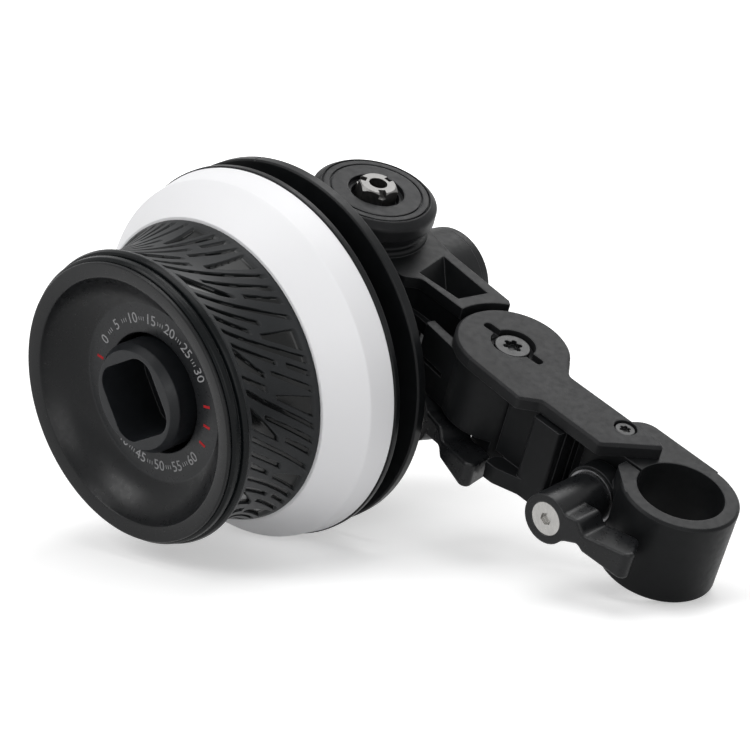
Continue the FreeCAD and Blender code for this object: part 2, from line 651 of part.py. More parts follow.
def make_index_plate_screws():
    """Make the screws that hold the index plate on the boss."""
    return Part.makeCompound([index_screw_head(i, 1.7).fuse(index_screw_shank(i, 0.8))
                              for i in range(INDEX_SCREWS)])


# ---------------------------------------------------------------- gears and shafts

def bevel_tooth(turn, cone_r):
    """Make one straight bevel tooth, shrinking towards the cones' apex at the origin."""
    outward = Vector(math.cos(turn), math.sin(turn), 0)
    across = Vector(-math.sin(turn), math.cos(turn), 0)
    pitch_point = outward * cone_r + Z_AXIS * cone_r
    height = (outward - Z_AXIS) * math.sqrt(0.5)
    half = (math.pi * MODULE / 2 - BACKLASH) / 2
    lean = math.tan(math.radians(PRESSURE_ANGLE))
    tip, root = MODULE, -1.25 * MODULE - 0.15
    large = [pitch_point + height * rise + across * side * (half - rise * lean)
             for rise, side in ((tip, 1), (tip, -1), (root, -1), (root, 1))]
    shrink = 1 - FACE_WIDTH / (cone_r * math.sqrt(2))
    small = [point * shrink for point in large]
    faces = [large, small[::-1]]
    for i in range(4):
        j = (i + 1) % 4
        faces.append([large[i], small[i], small[j], large[j]])
    shell = Part.makeShell([Part.Face(Part.makePolygon(f + f[:1])) for f in faces])
    return Part.makeSolid(shell)


def bevel_gear(bore_r, hub_r, hub_length, first_turn):
    """Make a mitre gear about Z with its cones' apex at the origin."""
    cone_r = TEETH * MODULE / 2
    sink = 1.25 * MODULE * math.sqrt(0.5)
    outer_r, outer_z = cone_r - sink, cone_r + sink
    shrink = 1 - FACE_WIDTH / (cone_r * math.sqrt(2))
    back = outer_z + 0.8
    blank = turned([(bore_r, outer_z * shrink), (outer_r * shrink, outer_z * shrink), (outer_r, outer_z),
                    (outer_r - 0.9, back), (hub_r, back), (hub_r, back + hub_length),
                    (bore_r, back + hub_length)])
    step = 2 * math.pi / TEETH
    gear = blank.fuse([bevel_tooth(first_turn + step * i, cone_r) for i in range(TEETH)])
    return gear.Solids[0] if gear.Solids else gear


def make_wheel_gear():
    """Make the bevel gear on the handwheel's shaft, with a tooth at the mesh."""
    gear = bevel_gear(GEAR_SEAT_R + SLIP, 4.6, GEAR_HUB, math.radians(90))
    gear.Placement = Placement(Vector(WHEEL_X, DRUM_Y, WHEEL_Z), Rotation(X_AXIS, 90))
    return gear


def make_output_gear():
    """Make the bevel gear on the output shaft, with a gap at the mesh."""
    gear = bevel_gear(GEAR_SEAT_R + SLIP, 4.6, GEAR_HUB, math.radians(-90) + math.pi / TEETH)
    gear.translate(Vector(WHEEL_X, DRUM_Y, WHEEL_Z))
    return gear


def make_wheel_shaft():
    """Make the handwheel's shaft, tapped at its front end and stepped down for its gear."""
    front, step = HUB_REAR_Y + 0.02, DRUM_Y - GEAR_BACK
    shaft = turned([(0, front), (WHEEL_SHAFT_R, front), (WHEEL_SHAFT_R, step), (GEAR_SEAT_R, step),
                    (GEAR_SEAT_R, 1.4), (0, 1.4)])
    return on_wheel_axis(shaft.cut(rod(1.25, front - 1, front + 8.0)))


def make_output_shaft():
    """Make the output shaft, tapped at its top and stepped down for its gear."""
    step = WHEEL_Z + GEAR_BACK
    shaft = turned([(0, BASE_TOP - 2.0), (OUTPUT_SHAFT_R - 0.9, BASE_TOP - 2.0),
                    (OUTPUT_SHAFT_R - 0.9, BASE_TOP - 0.6), (GEAR_SEAT_R, BASE_TOP - 0.6),
                    (GEAR_SEAT_R, BASE_TOP + 0.2), (OUTPUT_SHAFT_R, BASE_TOP + 0.2),
                    (OUTPUT_SHAFT_R, BASE_TOP + BEARING_WIDTH + 0.2),
                    (GEAR_SEAT_R, BASE_TOP + BEARING_WIDTH + 0.2), (GEAR_SEAT_R, step),
                    (OUTPUT_SHAFT_R, step), (OUTPUT_SHAFT_R, CAP_TOP - 2.0), (0, CAP_TOP - 2.0)])
    return on_drum_axis(shaft.cut(rod(DOG_THREAD_R, CAP_TOP - 8.0, CAP_TOP)))


def make_drive_dog():
    """Make the castellated hexagonal dog that a focus gear drops onto."""
    low, top = CAP_TOP - 1.98, CAP_TOP + 1.5
    body = hex_prism(6.6, low, top)
    cone = turned([(0, low - 1), (3.9, low - 1), (3.9, top - 0.7), (3.1, top + 0.05), (0, top + 0.05)])
    dog = body.common(cone)
    gaps = []
    for i in range(3):
        gap = block((-0.65, 0.65), (2.2, 6.0), (top - 1.1, top + 1))
        gap.rotate(Vector(), Z_AXIS, 120 * i)
        gaps.append(gap)
    return on_drum_axis(dog.cut(gaps + [rod(DOG_THREAD_R, low - 1, top + 1)]))


def make_output_circlip():
    """Make the open retaining ring on the output shaft's foot, under its bearing."""
    ring = turned([(OUTPUT_SHAFT_R - 0.88, BASE_TOP - 1.4), (OUTPUT_SHAFT_R + 1.6, BASE_TOP - 1.4),
                   (OUTPUT_SHAFT_R + 1.6, BASE_TOP - 0.65), (OUTPUT_SHAFT_R - 0.88, BASE_TOP - 0.65)])
    return on_drum_axis(ring.cut(block((0, 10), (-0.7, 0.7), (-60, 0))))


# ---------------------------------------------------------------- handwheel

def make_front_dish():
    """Make the dished face: outer lip, concave bowl and flat ring round the hub."""
    bowl = Part.Arc(Vector(BOWL_R, 0, LIP_Y), Vector(19.9, 0, -44.1), Vector(RING_R, 0, RING_Y)).toShape()
    corners = [Vector(RING_R, 0, RING_Y), Vector(RING_BORE_R, 0, RING_Y), Vector(RING_BORE_R, 0, DISH_REAR_Y),
               Vector(GRIP_BORE_R - 1.6, 0, DISH_REAR_Y), Vector(GRIP_BORE_R - 1.6, 0, RIM_REAR_Y),
               Vector(GRIP_BORE_R, 0, RIM_REAR_Y), Vector(GRIP_BORE_R, 0, LIP_Y + 0.8),
               Vector(LIP_R - 0.3, 0, LIP_Y + 0.8), Vector(LIP_R - 0.3, 0, LIP_Y), Vector(BOWL_R, 0, LIP_Y)]
    sides = [Part.LineSegment(a, b).toShape() for a, b in zip(corners, corners[1:])]
    return on_wheel_axis(Part.Face(Part.Wire([bowl] + sides)).revolve(Vector(), Z_AXIS, 360))


def make_rim_ring():
    """Make the turned ring round the dish's lip, with a fine groove near its rear."""
    inner = GRIP_BORE_R + SLIP
    return on_wheel_axis(turned([
        (inner, LIP_Y + 0.82), (LIP_R - 0.1, LIP_Y + 0.82), (LIP_R + 0.15, LIP_Y + 1.1),
        (LIP_R + 0.35, LIP_Y + 2.1), (LIP_R + 0.05, LIP_Y + 2.25), (LIP_R + 0.05, LIP_Y + 2.55),
        (LIP_R + 0.55, LIP_Y + 2.7), (RIM_R, RIM_REAR_Y - 0.5, 0.3), (RIM_R, RIM_REAR_Y),
        (inner, RIM_REAR_Y)]))


def make_hub_socket():
    """Make the proud hub with the rounded-square socket for a crank or a whip."""
    hub = turned([(0, HUB_FACE_Y), (HUB_FACE_R, HUB_FACE_Y), (HUB_R, HUB_FACE_Y + 1.5, 0.5),
                  (HUB_R, HUB_REAR_Y), (0, HUB_REAR_Y)])
    reach = SOCKET_CORNER_R + 1.5
    socket = slab([(reach, 0, 3.6), (0, reach, 3.6), (-reach, 0, 3.6), (0, -reach, 3.6)],
                  HUB_FACE_Y - 1, SOCKET_FLOOR_Y)
    return on_wheel_axis(hub.cut([socket, rod(1.3, -60, -20)]))


def make_hub_screw():
    """Make the screw at the socket's floor that ties the hub to the shaft."""
    head = rod(2.6, SOCKET_FLOOR_Y - 1.6, SOCKET_FLOOR_Y)
    screw = head.fuse(rod(1.23, SOCKET_FLOOR_Y, SOCKET_FLOOR_Y + 9.0))
    return on_wheel_axis(screw.cut(hex_prism(2.5, SOCKET_FLOOR_Y - 2.0, SOCKET_FLOOR_Y - 0.5)))


def make_wheel_core():
    """Make the aluminium core: a drum under the grip, a rear web and a hub on the shaft."""
    rim_bore, web = GRIP_BORE_R - 1.58, DISC_REAR_Y - CORE_WEB_T
    core = turned([
        (WHEEL_SHAFT_R + SLIP, HUB_REAR_Y + 0.02), (HUB_R - 1.5, HUB_REAR_Y + 0.02), (HUB_R - 1.5, web),
        (rim_bore - 0.6, web), (rim_bore - 0.6, DISH_REAR_Y + 0.02), (rim_bore, DISH_REAR_Y + 0.02),
        (rim_bore, RIM_REAR_Y + 0.02), (GRIP_BORE_R - SLIP, RIM_REAR_Y + 0.02),
        (GRIP_BORE_R - SLIP, DISC_REAR_Y - 0.02), (WHEEL_SHAFT_R + SLIP, DISC_REAR_Y - 0.02)])
    return on_wheel_axis(core.cut([backing_screw(i, 1.0, 0.62) for i in range(3)]))


def grip_outline():
    """Make the waisted outer curve of the grip as one arc through its waist."""
    return Part.Arc(Vector(RIM_R - 0.2, 0, RIM_REAR_Y + 0.02), Vector(GRIP_WAIST_R, 0, -37.0),
                    Vector(GRIP_REAR_R, 0, GRIP_REAR_Y)).toShape()


def make_grip_sleeve():
    """Make the rubber sleeve, narrower at its waist than at its ends."""
    front, rear = RIM_REAR_Y + 0.02, GRIP_REAR_Y
    corners = [Vector(GRIP_REAR_R, 0, rear), Vector(GRIP_BORE_R, 0, rear), Vector(GRIP_BORE_R, 0, front),
               Vector(RIM_R - 0.2, 0, front)]
    sides = [Part.LineSegment(a, b).toShape() for a, b in zip(corners, corners[1:])]
    return on_wheel_axis(Part.Face(Part.Wire([grip_outline()] + sides)).revolve(Vector(), Z_AXIS, 360))


def make_marking_disc():
    """Make the white marking disc: broad front cone, narrow outer band, hollow back."""
    front = GRIP_REAR_Y + 0.02
    return on_wheel_axis(turned([
        (GRIP_BORE_R, front), (GRIP_REAR_R + 0.25, front), (DISC_EDGE_R, DISC_EDGE_Y, 0.6),
        (DISC_R, DISC_REAR_Y), (DISC_R - 2.0, DISC_REAR_Y), (DISC_EDGE_R - 2.0, DISC_EDGE_Y + 0.6),
        (GRIP_REAR_R - 1.0, front + 2.2), (GRIP_BORE_R + 2.2, front + 2.2),
        (GRIP_BORE_R + 2.2, DISC_REAR_Y - 1.2), (GRIP_BORE_R, DISC_REAR_Y - 1.2)]))


def backing_screw(number, head_r, shank_r):
    """Make one screw that holds the backing ring on the core, at its place round the axis."""
    turn = math.radians(120 * number + 30)
    x, y = (GRIP_BORE_R - 1.1) * math.cos(turn), (GRIP_BORE_R - 1.1) * math.sin(turn)
    rear = DISC_REAR_Y + BACKING_T
    return rod(head_r, rear, rear + 0.6, x, y).fuse(rod(shank_r, rear - 4.6, rear, x, y))


def make_disc_backing():
    """Make the thin black ring behind the marking disc."""
    rear, edge = DISC_REAR_Y + BACKING_T, BACKING_CHAMFER
    ring = turned([(GRIP_BORE_R - 2.2, DISC_REAR_Y), (BACKING_R - edge, DISC_REAR_Y),
                   (BACKING_R, DISC_REAR_Y + edge), (BACKING_R, rear - edge), (BACKING_R - edge, rear),
                   (GRIP_BORE_R - 2.2, rear)])
    return on_wheel_axis(ring.cut([backing_screw(i, 1.0, 0.62) for i in range(3)]))


def make_backing_screws():
    """Make the three small screws in the backing ring."""
    return on_wheel_axis(Part.makeCompound([backing_screw(i, 1.0, 0.6) for i in range(3)]))


# ---------------------------------------------------------------- resting place

def lowest_on_circle(up, centre, axis, radius):
    """Return the point of a circle that reaches furthest down, against the up direction."""
    across = up - axis * up.dot(axis)
    return centre - across.normalize() * radius


def table_up():
    """Find the table's up direction from the three round edges that the unit lies on."""
    up = Vector(-0.4, 0.1, 0.9).normalize()
    backing = Vector(WHEEL_X, DISC_REAR_Y + BACKING_CHAMFER, WHEEL_Z)
    base = Vector(WHEEL_X, DRUM_Y, BASE_BOTTOM)
    for _ in range(60):
        wheel = lowest_on_circle(up, backing, Y_AXIS, BACKING_R)
        clamp = lowest_on_circle(up, Vector(0, 0, -CLAMP_DEPTH), Z_AXIS, CLAMP_R - CLAMP_CHAMFER)
        foot = lowest_on_circle(up, base, Z_AXIS, BASE_R - BASE_CHAMFER)
        up = (clamp - wheel).cross(foot - wheel).normalize()
        up = up if up.z > 0 else up * -1
    return up


def resting_rotation():
    """Return the turn that lays the unit down, with the handwheel facing -Y."""
    up = table_up()
    back = (Y_AXIS - up * Y_AXIS.dot(up)).normalize()
    right = back.cross(up)
    turn = FreeCAD.Matrix(right.x, right.y, right.z, 0, back.x, back.y, back.z, 0,
                          up.x, up.y, up.z, 0, 0, 0, 0, 1)
    return Placement(turn)


def resting_placement(shapes):
    """Return the whole move to the table, with the origin under the middle of the box."""
    turn = resting_rotation()
    box = Base.BoundBox()
    for shape in shapes:
        laid = shape.copy()
        laid.Placement = turn * laid.Placement
        box.add(laid.optimalBoundingBox(False, False))
    shift = Vector(-(box.XMin + box.XMax) / 2, -(box.YMin + box.YMax) / 2, -box.ZMin)
    return Placement(shift, Rotation()) * turn


NODES = {
    "clamp_arm": make_clamp_arm,
    "cover_plate": make_cover_plate,
    "pivot_screw": make_pivot_screw,
    "cover_screw": make_cover_screw,
    "pivot_post": make_pivot_post,
    "pivot_bush": make_pivot_bush,
    "thrust_washer": make_thrust_washer,
    "clamp_washer": make_clamp_washer,
    "clamp_lever": make_clamp_lever,
    "clamp_lever_screw": make_clamp_lever_screw,
    "clamp_stud": make_clamp_stud,
    "lock_lever": make_lock_lever,
    "lock_lever_screw": make_lock_lever_screw,
    "lock_stud": make_lock_stud,
    "gear_case": make_gear_case,
    "top_cap": make_top_cap,
    "base_cap": make_base_cap,
    "rear_cap": make_rear_cap,
    "wheel_bearings": make_wheel_bearings,
    "output_bearings": make_output_bearings,
    "index_plate": make_index_plate,
    "index_plate_screws": make_index_plate_screws,
    "wheel_gear": make_wheel_gear,
    "wheel_shaft": make_wheel_shaft,
    "output_gear": make_output_gear,
    "output_shaft": make_output_shaft,
    "drive_dog": make_drive_dog,
    "output_circlip": make_output_circlip,
    "front_dish": make_front_dish,
    "rim_ring": make_rim_ring,
    "hub_socket": make_hub_socket,
    "hub_screw": make_hub_screw,
    "wheel_core": make_wheel_core,
    "grip_sleeve": make_grip_sleeve,
    "marking_disc": make_marking_disc,
    "disc_backing": make_disc_backing,
    "backing_screws": make_backing_screws,
}


def main():
    """Build every piece, lay the unit down and write one STEP file per piece."""
    os.makedirs("parts", exist_ok=True)
    shapes = {name: make() for name, make in NODES.items()}
    placement = resting_placement(shapes.values())
    for name, shape in shapes.items():
        shape.Placement = placement * shape.Placement
        shape.exportStep(f"parts/{name}.step")
        print(name, len(shape.Solids), round(shape.Volume, 1), shape.isValid())


if __name__ == "__main__":
    main()
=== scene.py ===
"""Looks of the follow focus unit: its finishes, its dressed pieces, the studio and the camera.

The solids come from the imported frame.  The handwheel's turned and moulded pieces are
worked out again here as fine surfaces, and every other piece gets its finish.
"""
import json
import logging
import math
from dataclasses import dataclass
from enum import Enum
from typing import Iterable, Optional

import bmesh
import bpy
import numpy as np
from mathutils import Matrix, Vector


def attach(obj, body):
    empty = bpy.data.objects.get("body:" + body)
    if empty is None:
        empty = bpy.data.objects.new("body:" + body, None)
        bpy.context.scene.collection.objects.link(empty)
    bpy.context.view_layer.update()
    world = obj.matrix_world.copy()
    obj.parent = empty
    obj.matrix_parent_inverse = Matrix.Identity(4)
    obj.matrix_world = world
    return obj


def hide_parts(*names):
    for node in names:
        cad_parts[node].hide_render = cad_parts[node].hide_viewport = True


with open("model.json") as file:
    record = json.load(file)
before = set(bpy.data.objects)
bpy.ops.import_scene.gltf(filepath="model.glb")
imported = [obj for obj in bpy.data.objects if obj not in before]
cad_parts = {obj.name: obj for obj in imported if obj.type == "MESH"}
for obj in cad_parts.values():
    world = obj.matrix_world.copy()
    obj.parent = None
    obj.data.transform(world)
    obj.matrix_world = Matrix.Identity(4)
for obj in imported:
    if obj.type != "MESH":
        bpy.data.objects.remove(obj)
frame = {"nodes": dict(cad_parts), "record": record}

log = logging.getLogger("follow_focus")

MM = 0.001
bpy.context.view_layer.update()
Colour = tuple[float, float, float]


# ---------------------------------------------------------------- places

def record_entry(entries: Iterable[dict], name: str) -> dict:
    """Find the entry of that name.

    Args:
        entries: the record's joints or mounts.
        name: the name looked for.

    Returns:
        The entry.
    """
    return next(entry for entry in entries if entry["name"] == name)


@dataclass(frozen=True)
class WorkingFrame:
    """The unit's own axes: X from gearbox to clamp, Y along the wheel, Z along the rod.

    The frame's axes and origin come from the record's joints and mounts, so that
    every surface made here lies where the solids do.
    """

    rotation: np.ndarray
    origin: np.ndarray

    @classmethod
    def from_record(cls) -> "WorkingFrame":
        """Read the axes from the wheel and swing joints and the origin from the wheel's hub."""
        record = frame["record"]
        joints, mounts = record["behaviour"]["joints"], record["mounts"]
        back = np.array(record_entry(joints, "wheel_turn")["axis"])
        up = np.array(record_entry(joints, "swing")["axis"])
        rotation = np.column_stack([np.cross(back, up), back, up])
        hub = np.array(record_entry(mounts, "crank_socket")["pos_m"])
        return cls(rotation, hub - rotation @ (np.array([Wheel.AXIS_X, Wheel.HUB_Y, Wheel.AXIS_Z]) * MM))

    def place(self, points: np.ndarray) -> np.ndarray:
        """Carry points from the unit's axes to the row's frame.

        Args:
            points: an array of points in millimetres, three numbers in its last axis.

        Returns:
            The points in metres, in the row's frame.
        """
        return points * MM @ self.rotation.T + self.origin

    def direction(self, vector: Iterable[float]) -> Vector:
        """Turn a direction from the unit's axes to the row's frame."""
        return Vector(self.rotation @ np.array(list(vector), dtype=float))


class Finish(Enum):
    """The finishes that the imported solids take."""

    PLATE = "anodised_plate"
    CASE = "anodised_case"
    CAP = "anodised_cap"
    HUB = "anodised_hub"
    INDEX = "anodised_index"
    LEVER = "anodised_lever"
    BLACKENED = "blackened_steel"
    BRIGHT = "bright_steel"
    DOG = "dog_steel"
    PAINTED_SHADE = "painted_shade_steel"
    DARK_STEEL = "dark_steel"
    BRONZE = "bronze"
    WASHER = "nylon_washer"


# ---------------------------------------------------------------- surfaces

def rounded_profile(corners: list[tuple[float, ...]], steps: int = 5, closed: bool = True) -> np.ndarray:
    """Round the corners of a profile with tangent arcs.

    Each corner is replaced by an arc that touches both of its sides: its centre lies on
    the bisector, and its points are the centre plus the radius at evenly spaced angles.

    Args:
        corners: (radius, height) or (radius, height, fillet radius) in millimetres.
        steps: the number of spans in each arc.
        closed: whether the last corner joins the first.

    Returns:
        The profile's points, one row each.
    """
    count = len(corners)
    out: list[np.ndarray] = []
    for index, corner in enumerate(corners):
        here = np.array(corner[:2], dtype=float)
        fillet = corner[2] if len(corner) > 2 else 0.0
        if fillet <= 0 or (not closed and index in (0, count - 1)):
            out.append(here[None])
            continue
        before = np.array(corners[index - 1][:2]) - here
        after = np.array(corners[(index + 1) % count][:2]) - here
        before, after = before / np.linalg.norm(before), after / np.linalg.norm(after)
        half = 0.5 * math.acos(float(np.clip(before @ after, -1, 1)))
        reach = fillet / math.tan(half)
        centre = here + (before + after) / np.linalg.norm(before + after) * fillet / math.sin(half)
        start, end = here + before * reach - centre, here + after * reach - centre
        turn = math.atan2(start[0] * end[1] - start[1] * end[0], start @ end)
        angles = np.linspace(0.0, turn, steps + 1)
        out.append(centre + np.cos(angles)[:, None] * start
                   + np.sin(angles)[:, None] * np.array([-start[1], start[0]]))
    return np.concatenate(out)


def arc_through(start: tuple[float, float], middle: tuple[float, float], end: tuple[float, float],
                steps: int) -> np.ndarray:
    """Sample the circle arc that runs through three points.

    The centre is where the perpendicular bisectors of the two chords meet, and the points
    are the centre plus the radius at evenly spaced angles from the first to the last.

    Args:
        start: the arc's first point.
        middle: a point on the arc.
        end: the arc's last point.
        steps: the number of spans.

    Returns:
        The arc's points, one row each.
    """
    a, b, c = (np.array(point, dtype=float) for point in (start, middle, end))
    system = 2 * np.array([b - a, c - a])
    centre = np.linalg.solve(system, np.array([b @ b - a @ a, c @ c - a @ a]))
    first, last = a - centre, c - centre
    turn = math.atan2(first[0] * last[1] - first[1] * last[0], first @ last)
    angles = np.linspace(0.0, turn, steps + 1)
    return (centre + np.cos(angles)[:, None] * first
            + np.sin(angles)[:, None] * np.array([-first[1], first[0]]))


def grid_faces(rows: int, columns: int, wrap_rows: bool, wrap_columns: bool) -> np.ndarray:
    """Index the quads of a grid of points stored row by row.

    Args:
        rows: the number of rows.
        columns: the number of columns.
        wrap_rows: whether the last row joins the first.
        wrap_columns: whether the last column joins the first.

    Returns:
        Four point numbers for each quad.
    """
    row = np.arange(rows if wrap_rows else rows - 1)[:, None]
    column = np.arange(columns if wrap_columns else columns - 1)[None, :]
    here, below = row * columns, (row + 1) % rows * columns
    beside = (column + 1) % columns
    quads = np.broadcast_arrays(here + column, here + beside, below + beside, below + column)
    return np.stack(quads, axis=-1).reshape(-1, 4)


def make_object(name: str, points: np.ndarray, faces: list, sharp_deg: float = 32.0) -> bpy.types.Object:
    """Make a mesh object at the origin from points in metres.

    Args:
        name: the piece's name.
        points: one row for each point, in the row's frame.
        faces: the point numbers of each face.
        sharp_deg: edges that turn more than this stay sharp.

    Returns:
        The new object, linked to the scene.
    """
    mesh = bpy.data.meshes.new(name)
    mesh.from_pydata(points.tolist(), [], faces)
    work = bmesh.new()
    work.from_mesh(mesh)
    bmesh.ops.remove_doubles(work, verts=work.verts, dist=1e-7)
    bmesh.ops.recalc_face_normals(work, faces=work.faces)
    work.to_mesh(mesh)
    work.free()
    mesh.polygons.foreach_set("use_smooth", np.ones(len(mesh.polygons), dtype=bool))
    mesh.set_sharp_from_angle(angle=math.radians(sharp_deg))
    mesh.update()
    obj = bpy.data.objects.new(name, mesh)
    bpy.context.scene.collection.objects.link(obj)
    return obj


def around(radius: np.ndarray, height: np.ndarray, angle: np.ndarray) -> np.ndarray:
    """Place points round the wheel's axis.

    x is the axis's x plus radius times cosine, z the axis's z plus radius times sine, and
    y the height.

    Args:
        radius: distances from the axis, in millimetres.
        height: positions along the axis, in the unit's own y.
        angle: angles round the axis, in radians.

    Returns:
        The points in the unit's axes, in millimetres.
    """
    across, aside = radius * np.cos(angle), radius * np.sin(angle)
    parts = (Wheel.AXIS_X + across, height + 0 * across, Wheel.AXIS_Z + aside)
    return np.stack(np.broadcast_arrays(*parts), axis=-1)


def turned_piece(place: WorkingFrame, name: str, profile: np.ndarray, segments: int) -> bpy.types.Object:
    """Turn a closed profile round the wheel's axis.

    Every point of the profile becomes a circle: its radius stays, its height stays, and
    its angle runs once round in equal steps.

    Args:
        place: the unit's axes.
        name: the piece's name.
        profile: (radius, height) points of the closed section.
        segments: the number of steps round the axis.

    Returns:
        The piece's object.
    """
    angles = np.linspace(0, 2 * math.pi, segments, endpoint=False)
    points = around(profile[:, 0][:, None], profile[:, 1][:, None], angles[None, :])
    faces = grid_faces(len(profile), segments, True, True)
    return make_object(name, place.place(points.reshape(-1, 3)), faces.tolist())


# ---------------------------------------------------------------- finishes

class NodeBoard:
    """A material's node tree with short calls for the nodes that the finishes share."""

    def __init__(self, name: str) -> None:
        """Start a material with a Principled shader and object coordinates."""
        self.material = bpy.data.materials.new(name)
        self.material.use_nodes = True
        self.tree = self.material.node_tree
        self.shader = self.tree.nodes["Principled BSDF"]
        self.coordinates = self.tree.nodes.new("ShaderNodeTexCoord").outputs["Object"]

    def link(self, source: bpy.types.NodeSocket, target: bpy.types.NodeSocket) -> None:
        """Join two sockets."""
        self.tree.links.new(source, target)

    def noise(self, scale: float, detail: float = 2.0, roughness: float = 0.5,
              stretch: Optional[tuple[float, float, float]] = None) -> bpy.types.NodeSocket:
        """Make a noise on object coordinates and return its value.

        Args:
            scale: features per metre.
            detail: octaves.
            roughness: how strong the finer octaves are.
            stretch: factors along the three axes, for grain that runs one way.

        Returns:
            The noise's value socket.
        """
        node = self.tree.nodes.new("ShaderNodeTexNoise")
        node.inputs["Scale"].default_value = scale
        node.inputs["Detail"].default_value = detail
        node.inputs["Roughness"].default_value = roughness
        source = self.coordinates
        if stretch is not None:
            mapping = self.tree.nodes.new("ShaderNodeMapping")
            mapping.inputs["Scale"].default_value = stretch
            self.link(source, mapping.inputs["Vector"])
            source = mapping.outputs["Vector"]
        self.link(source, node.inputs["Vector"])
        return node.outputs["Fac"]

    def ramp(self, value: bpy.types.NodeSocket, low: float, high: float, out_low: float,
             out_high: float) -> bpy.types.NodeSocket:
        """Map a value from one range to another, clamped."""
        node = self.tree.nodes.new("ShaderNodeMapRange")
        self.link(value, node.inputs["Value"])
        limits = {"From Min": low, "From Max": high, "To Min": out_low, "To Max": out_high}
        for socket, number in limits.items():
            node.inputs[socket].default_value = number
        return node.outputs["Result"]

    def mix(self, factor: bpy.types.NodeSocket, first: Colour, second: Colour) -> bpy.types.NodeSocket:
        """Mix two colours by a factor."""
        node = self.tree.nodes.new("ShaderNodeMix")
        node.data_type = "RGBA"
        self.link(factor, node.inputs[0])
        node.inputs[6].default_value = (*first, 1.0)
        node.inputs[7].default_value = (*second, 1.0)
        return node.outputs[2]

    def mix_over(self, factor: bpy.types.NodeSocket, under: bpy.types.NodeSocket,
                 over: Colour) -> bpy.types.NodeSocket:
        """Mix a colour over a socket's colour by a factor."""
        node = self.tree.nodes.new("ShaderNodeMix")
        node.data_type = "RGBA"
        self.link(factor, node.inputs[0])
        self.link(under, node.inputs[6])
        node.inputs[7].default_value = (*over, 1.0)
        return node.outputs[2]

    def attribute(self, name: str) -> bpy.types.NodeSocket:
        """Read a piece's own point attribute."""
        node = self.tree.nodes.new("ShaderNodeAttribute")
        node.attribute_name = name
        return node.outputs["Fac"]

    def soft_edges(self, radius: float) -> bpy.types.NodeSocket:
        """Return the normal rounded over edges by a radius in metres."""
        node = self.tree.nodes.new("ShaderNodeBevel")
        node.samples = 6
        node.inputs["Radius"].default_value = radius
        return node.outputs["Normal"]

    def edge_highlight_mask(self, rounded: bpy.types.NodeSocket, gain: float) -> bpy.types.NodeSocket:
        """Measure how near an edge is, for a painted edge highlight: the gain times one minus the two
        normals' cosine.
        """
        geometry = self.tree.nodes.new("ShaderNodeNewGeometry")
        dot = self.tree.nodes.new("ShaderNodeVectorMath")
        dot.operation = "DOT_PRODUCT"
        self.link(rounded, dot.inputs[0])
        self.link(geometry.outputs["Normal"], dot.inputs[1])
        return self.ramp(dot.outputs["Value"], 1.0 - 1.0 / gain, 1.0, 1.0, 0.0)

    def bump(self, height: bpy.types.NodeSocket, distance: float, strength: float,
             normal: Optional[bpy.types.NodeSocket] = None) -> bpy.types.NodeSocket:
        """Make a bump of a height in metres, over a normal where one is given."""
        node = self.tree.nodes.new("ShaderNodeBump")
        node.inputs["Distance"].default_value = distance
        node.inputs["Strength"].default_value = strength
        self.link(height, node.inputs["Height"])
        if normal is not None:
            self.link(normal, node.inputs["Normal"])
        return node.outputs["Normal"]


@dataclass(frozen=True)
class Anodised:
    """Black anodised aluminium: blasted grain, a little mottling and a painted highlight that makes its
    edges paler.
    """

    name: str
    colour: Colour
    roughness: float
    specular: float
    grain: float = 7000.0
    grain_depth: float = 0.00001
    edge_radius: float = 0.00034
    edge_gain: float = 3.0
    # Painted highlight: the paler colour mixed over the edges.
    edge_highlight_colour: Colour = (0.10, 0.102, 0.106)

    def material(self) -> bpy.types.Material:
        """Build the finish's material."""
        board = NodeBoard(self.name)
        colour = self.base(board)
        fine = board.noise(self.grain, 2.0, 0.6)
        rounded = board.soft_edges(self.edge_radius)
        painted_highlight = board.edge_highlight_mask(rounded, self.edge_gain)
        # Painted highlight: near edges the base colour is mixed toward the paler edge colour.
        colour = board.mix_over(board.ramp(painted_highlight, 0.15, 1.0, 0.0, 0.6), colour, self.edge_highlight_colour)
        board.link(colour, board.shader.inputs["Base Color"])
        blotch = board.noise(900.0, 3.0, 0.55)
        board.link(board.ramp(blotch, 0.3, 0.7, self.roughness - 0.05, self.roughness + 0.07),
                   board.shader.inputs["Roughness"])
        board.shader.inputs["Specular IOR Level"].default_value = self.specular
        board.link(board.bump(fine, self.grain_depth, 0.35, rounded), board.shader.inputs["Normal"])
        return board.material

    def base(self, board: NodeBoard) -> bpy.types.NodeSocket:
        """Make the mottled base colour."""
        mottle = board.noise(260.0, 4.0, 0.6)
        lighter = tuple(min(1.0, c * 1.35) for c in self.colour)
        return board.mix(board.ramp(mottle, 0.35, 0.7, 0.0, 1.0), self.colour, lighter)


@dataclass(frozen=True)
class DishAnodised(Anodised):
    """The dish's finish: its flat ring is coloured paler than its bowl and lip, a painted reflection."""

    # Painted reflection: the flat ring's paler colour stands in for the light it reflects.
    ring_reflection_colour: Colour = (0.016, 0.017, 0.0185)

    def base(self, board: NodeBoard) -> bpy.types.NodeSocket:
        """Make the base colour and mix the ring's paler colour, a painted reflection, over it."""
        return board.mix_over(board.attribute("flat_ring"), super().base(board), self.ring_reflection_colour)


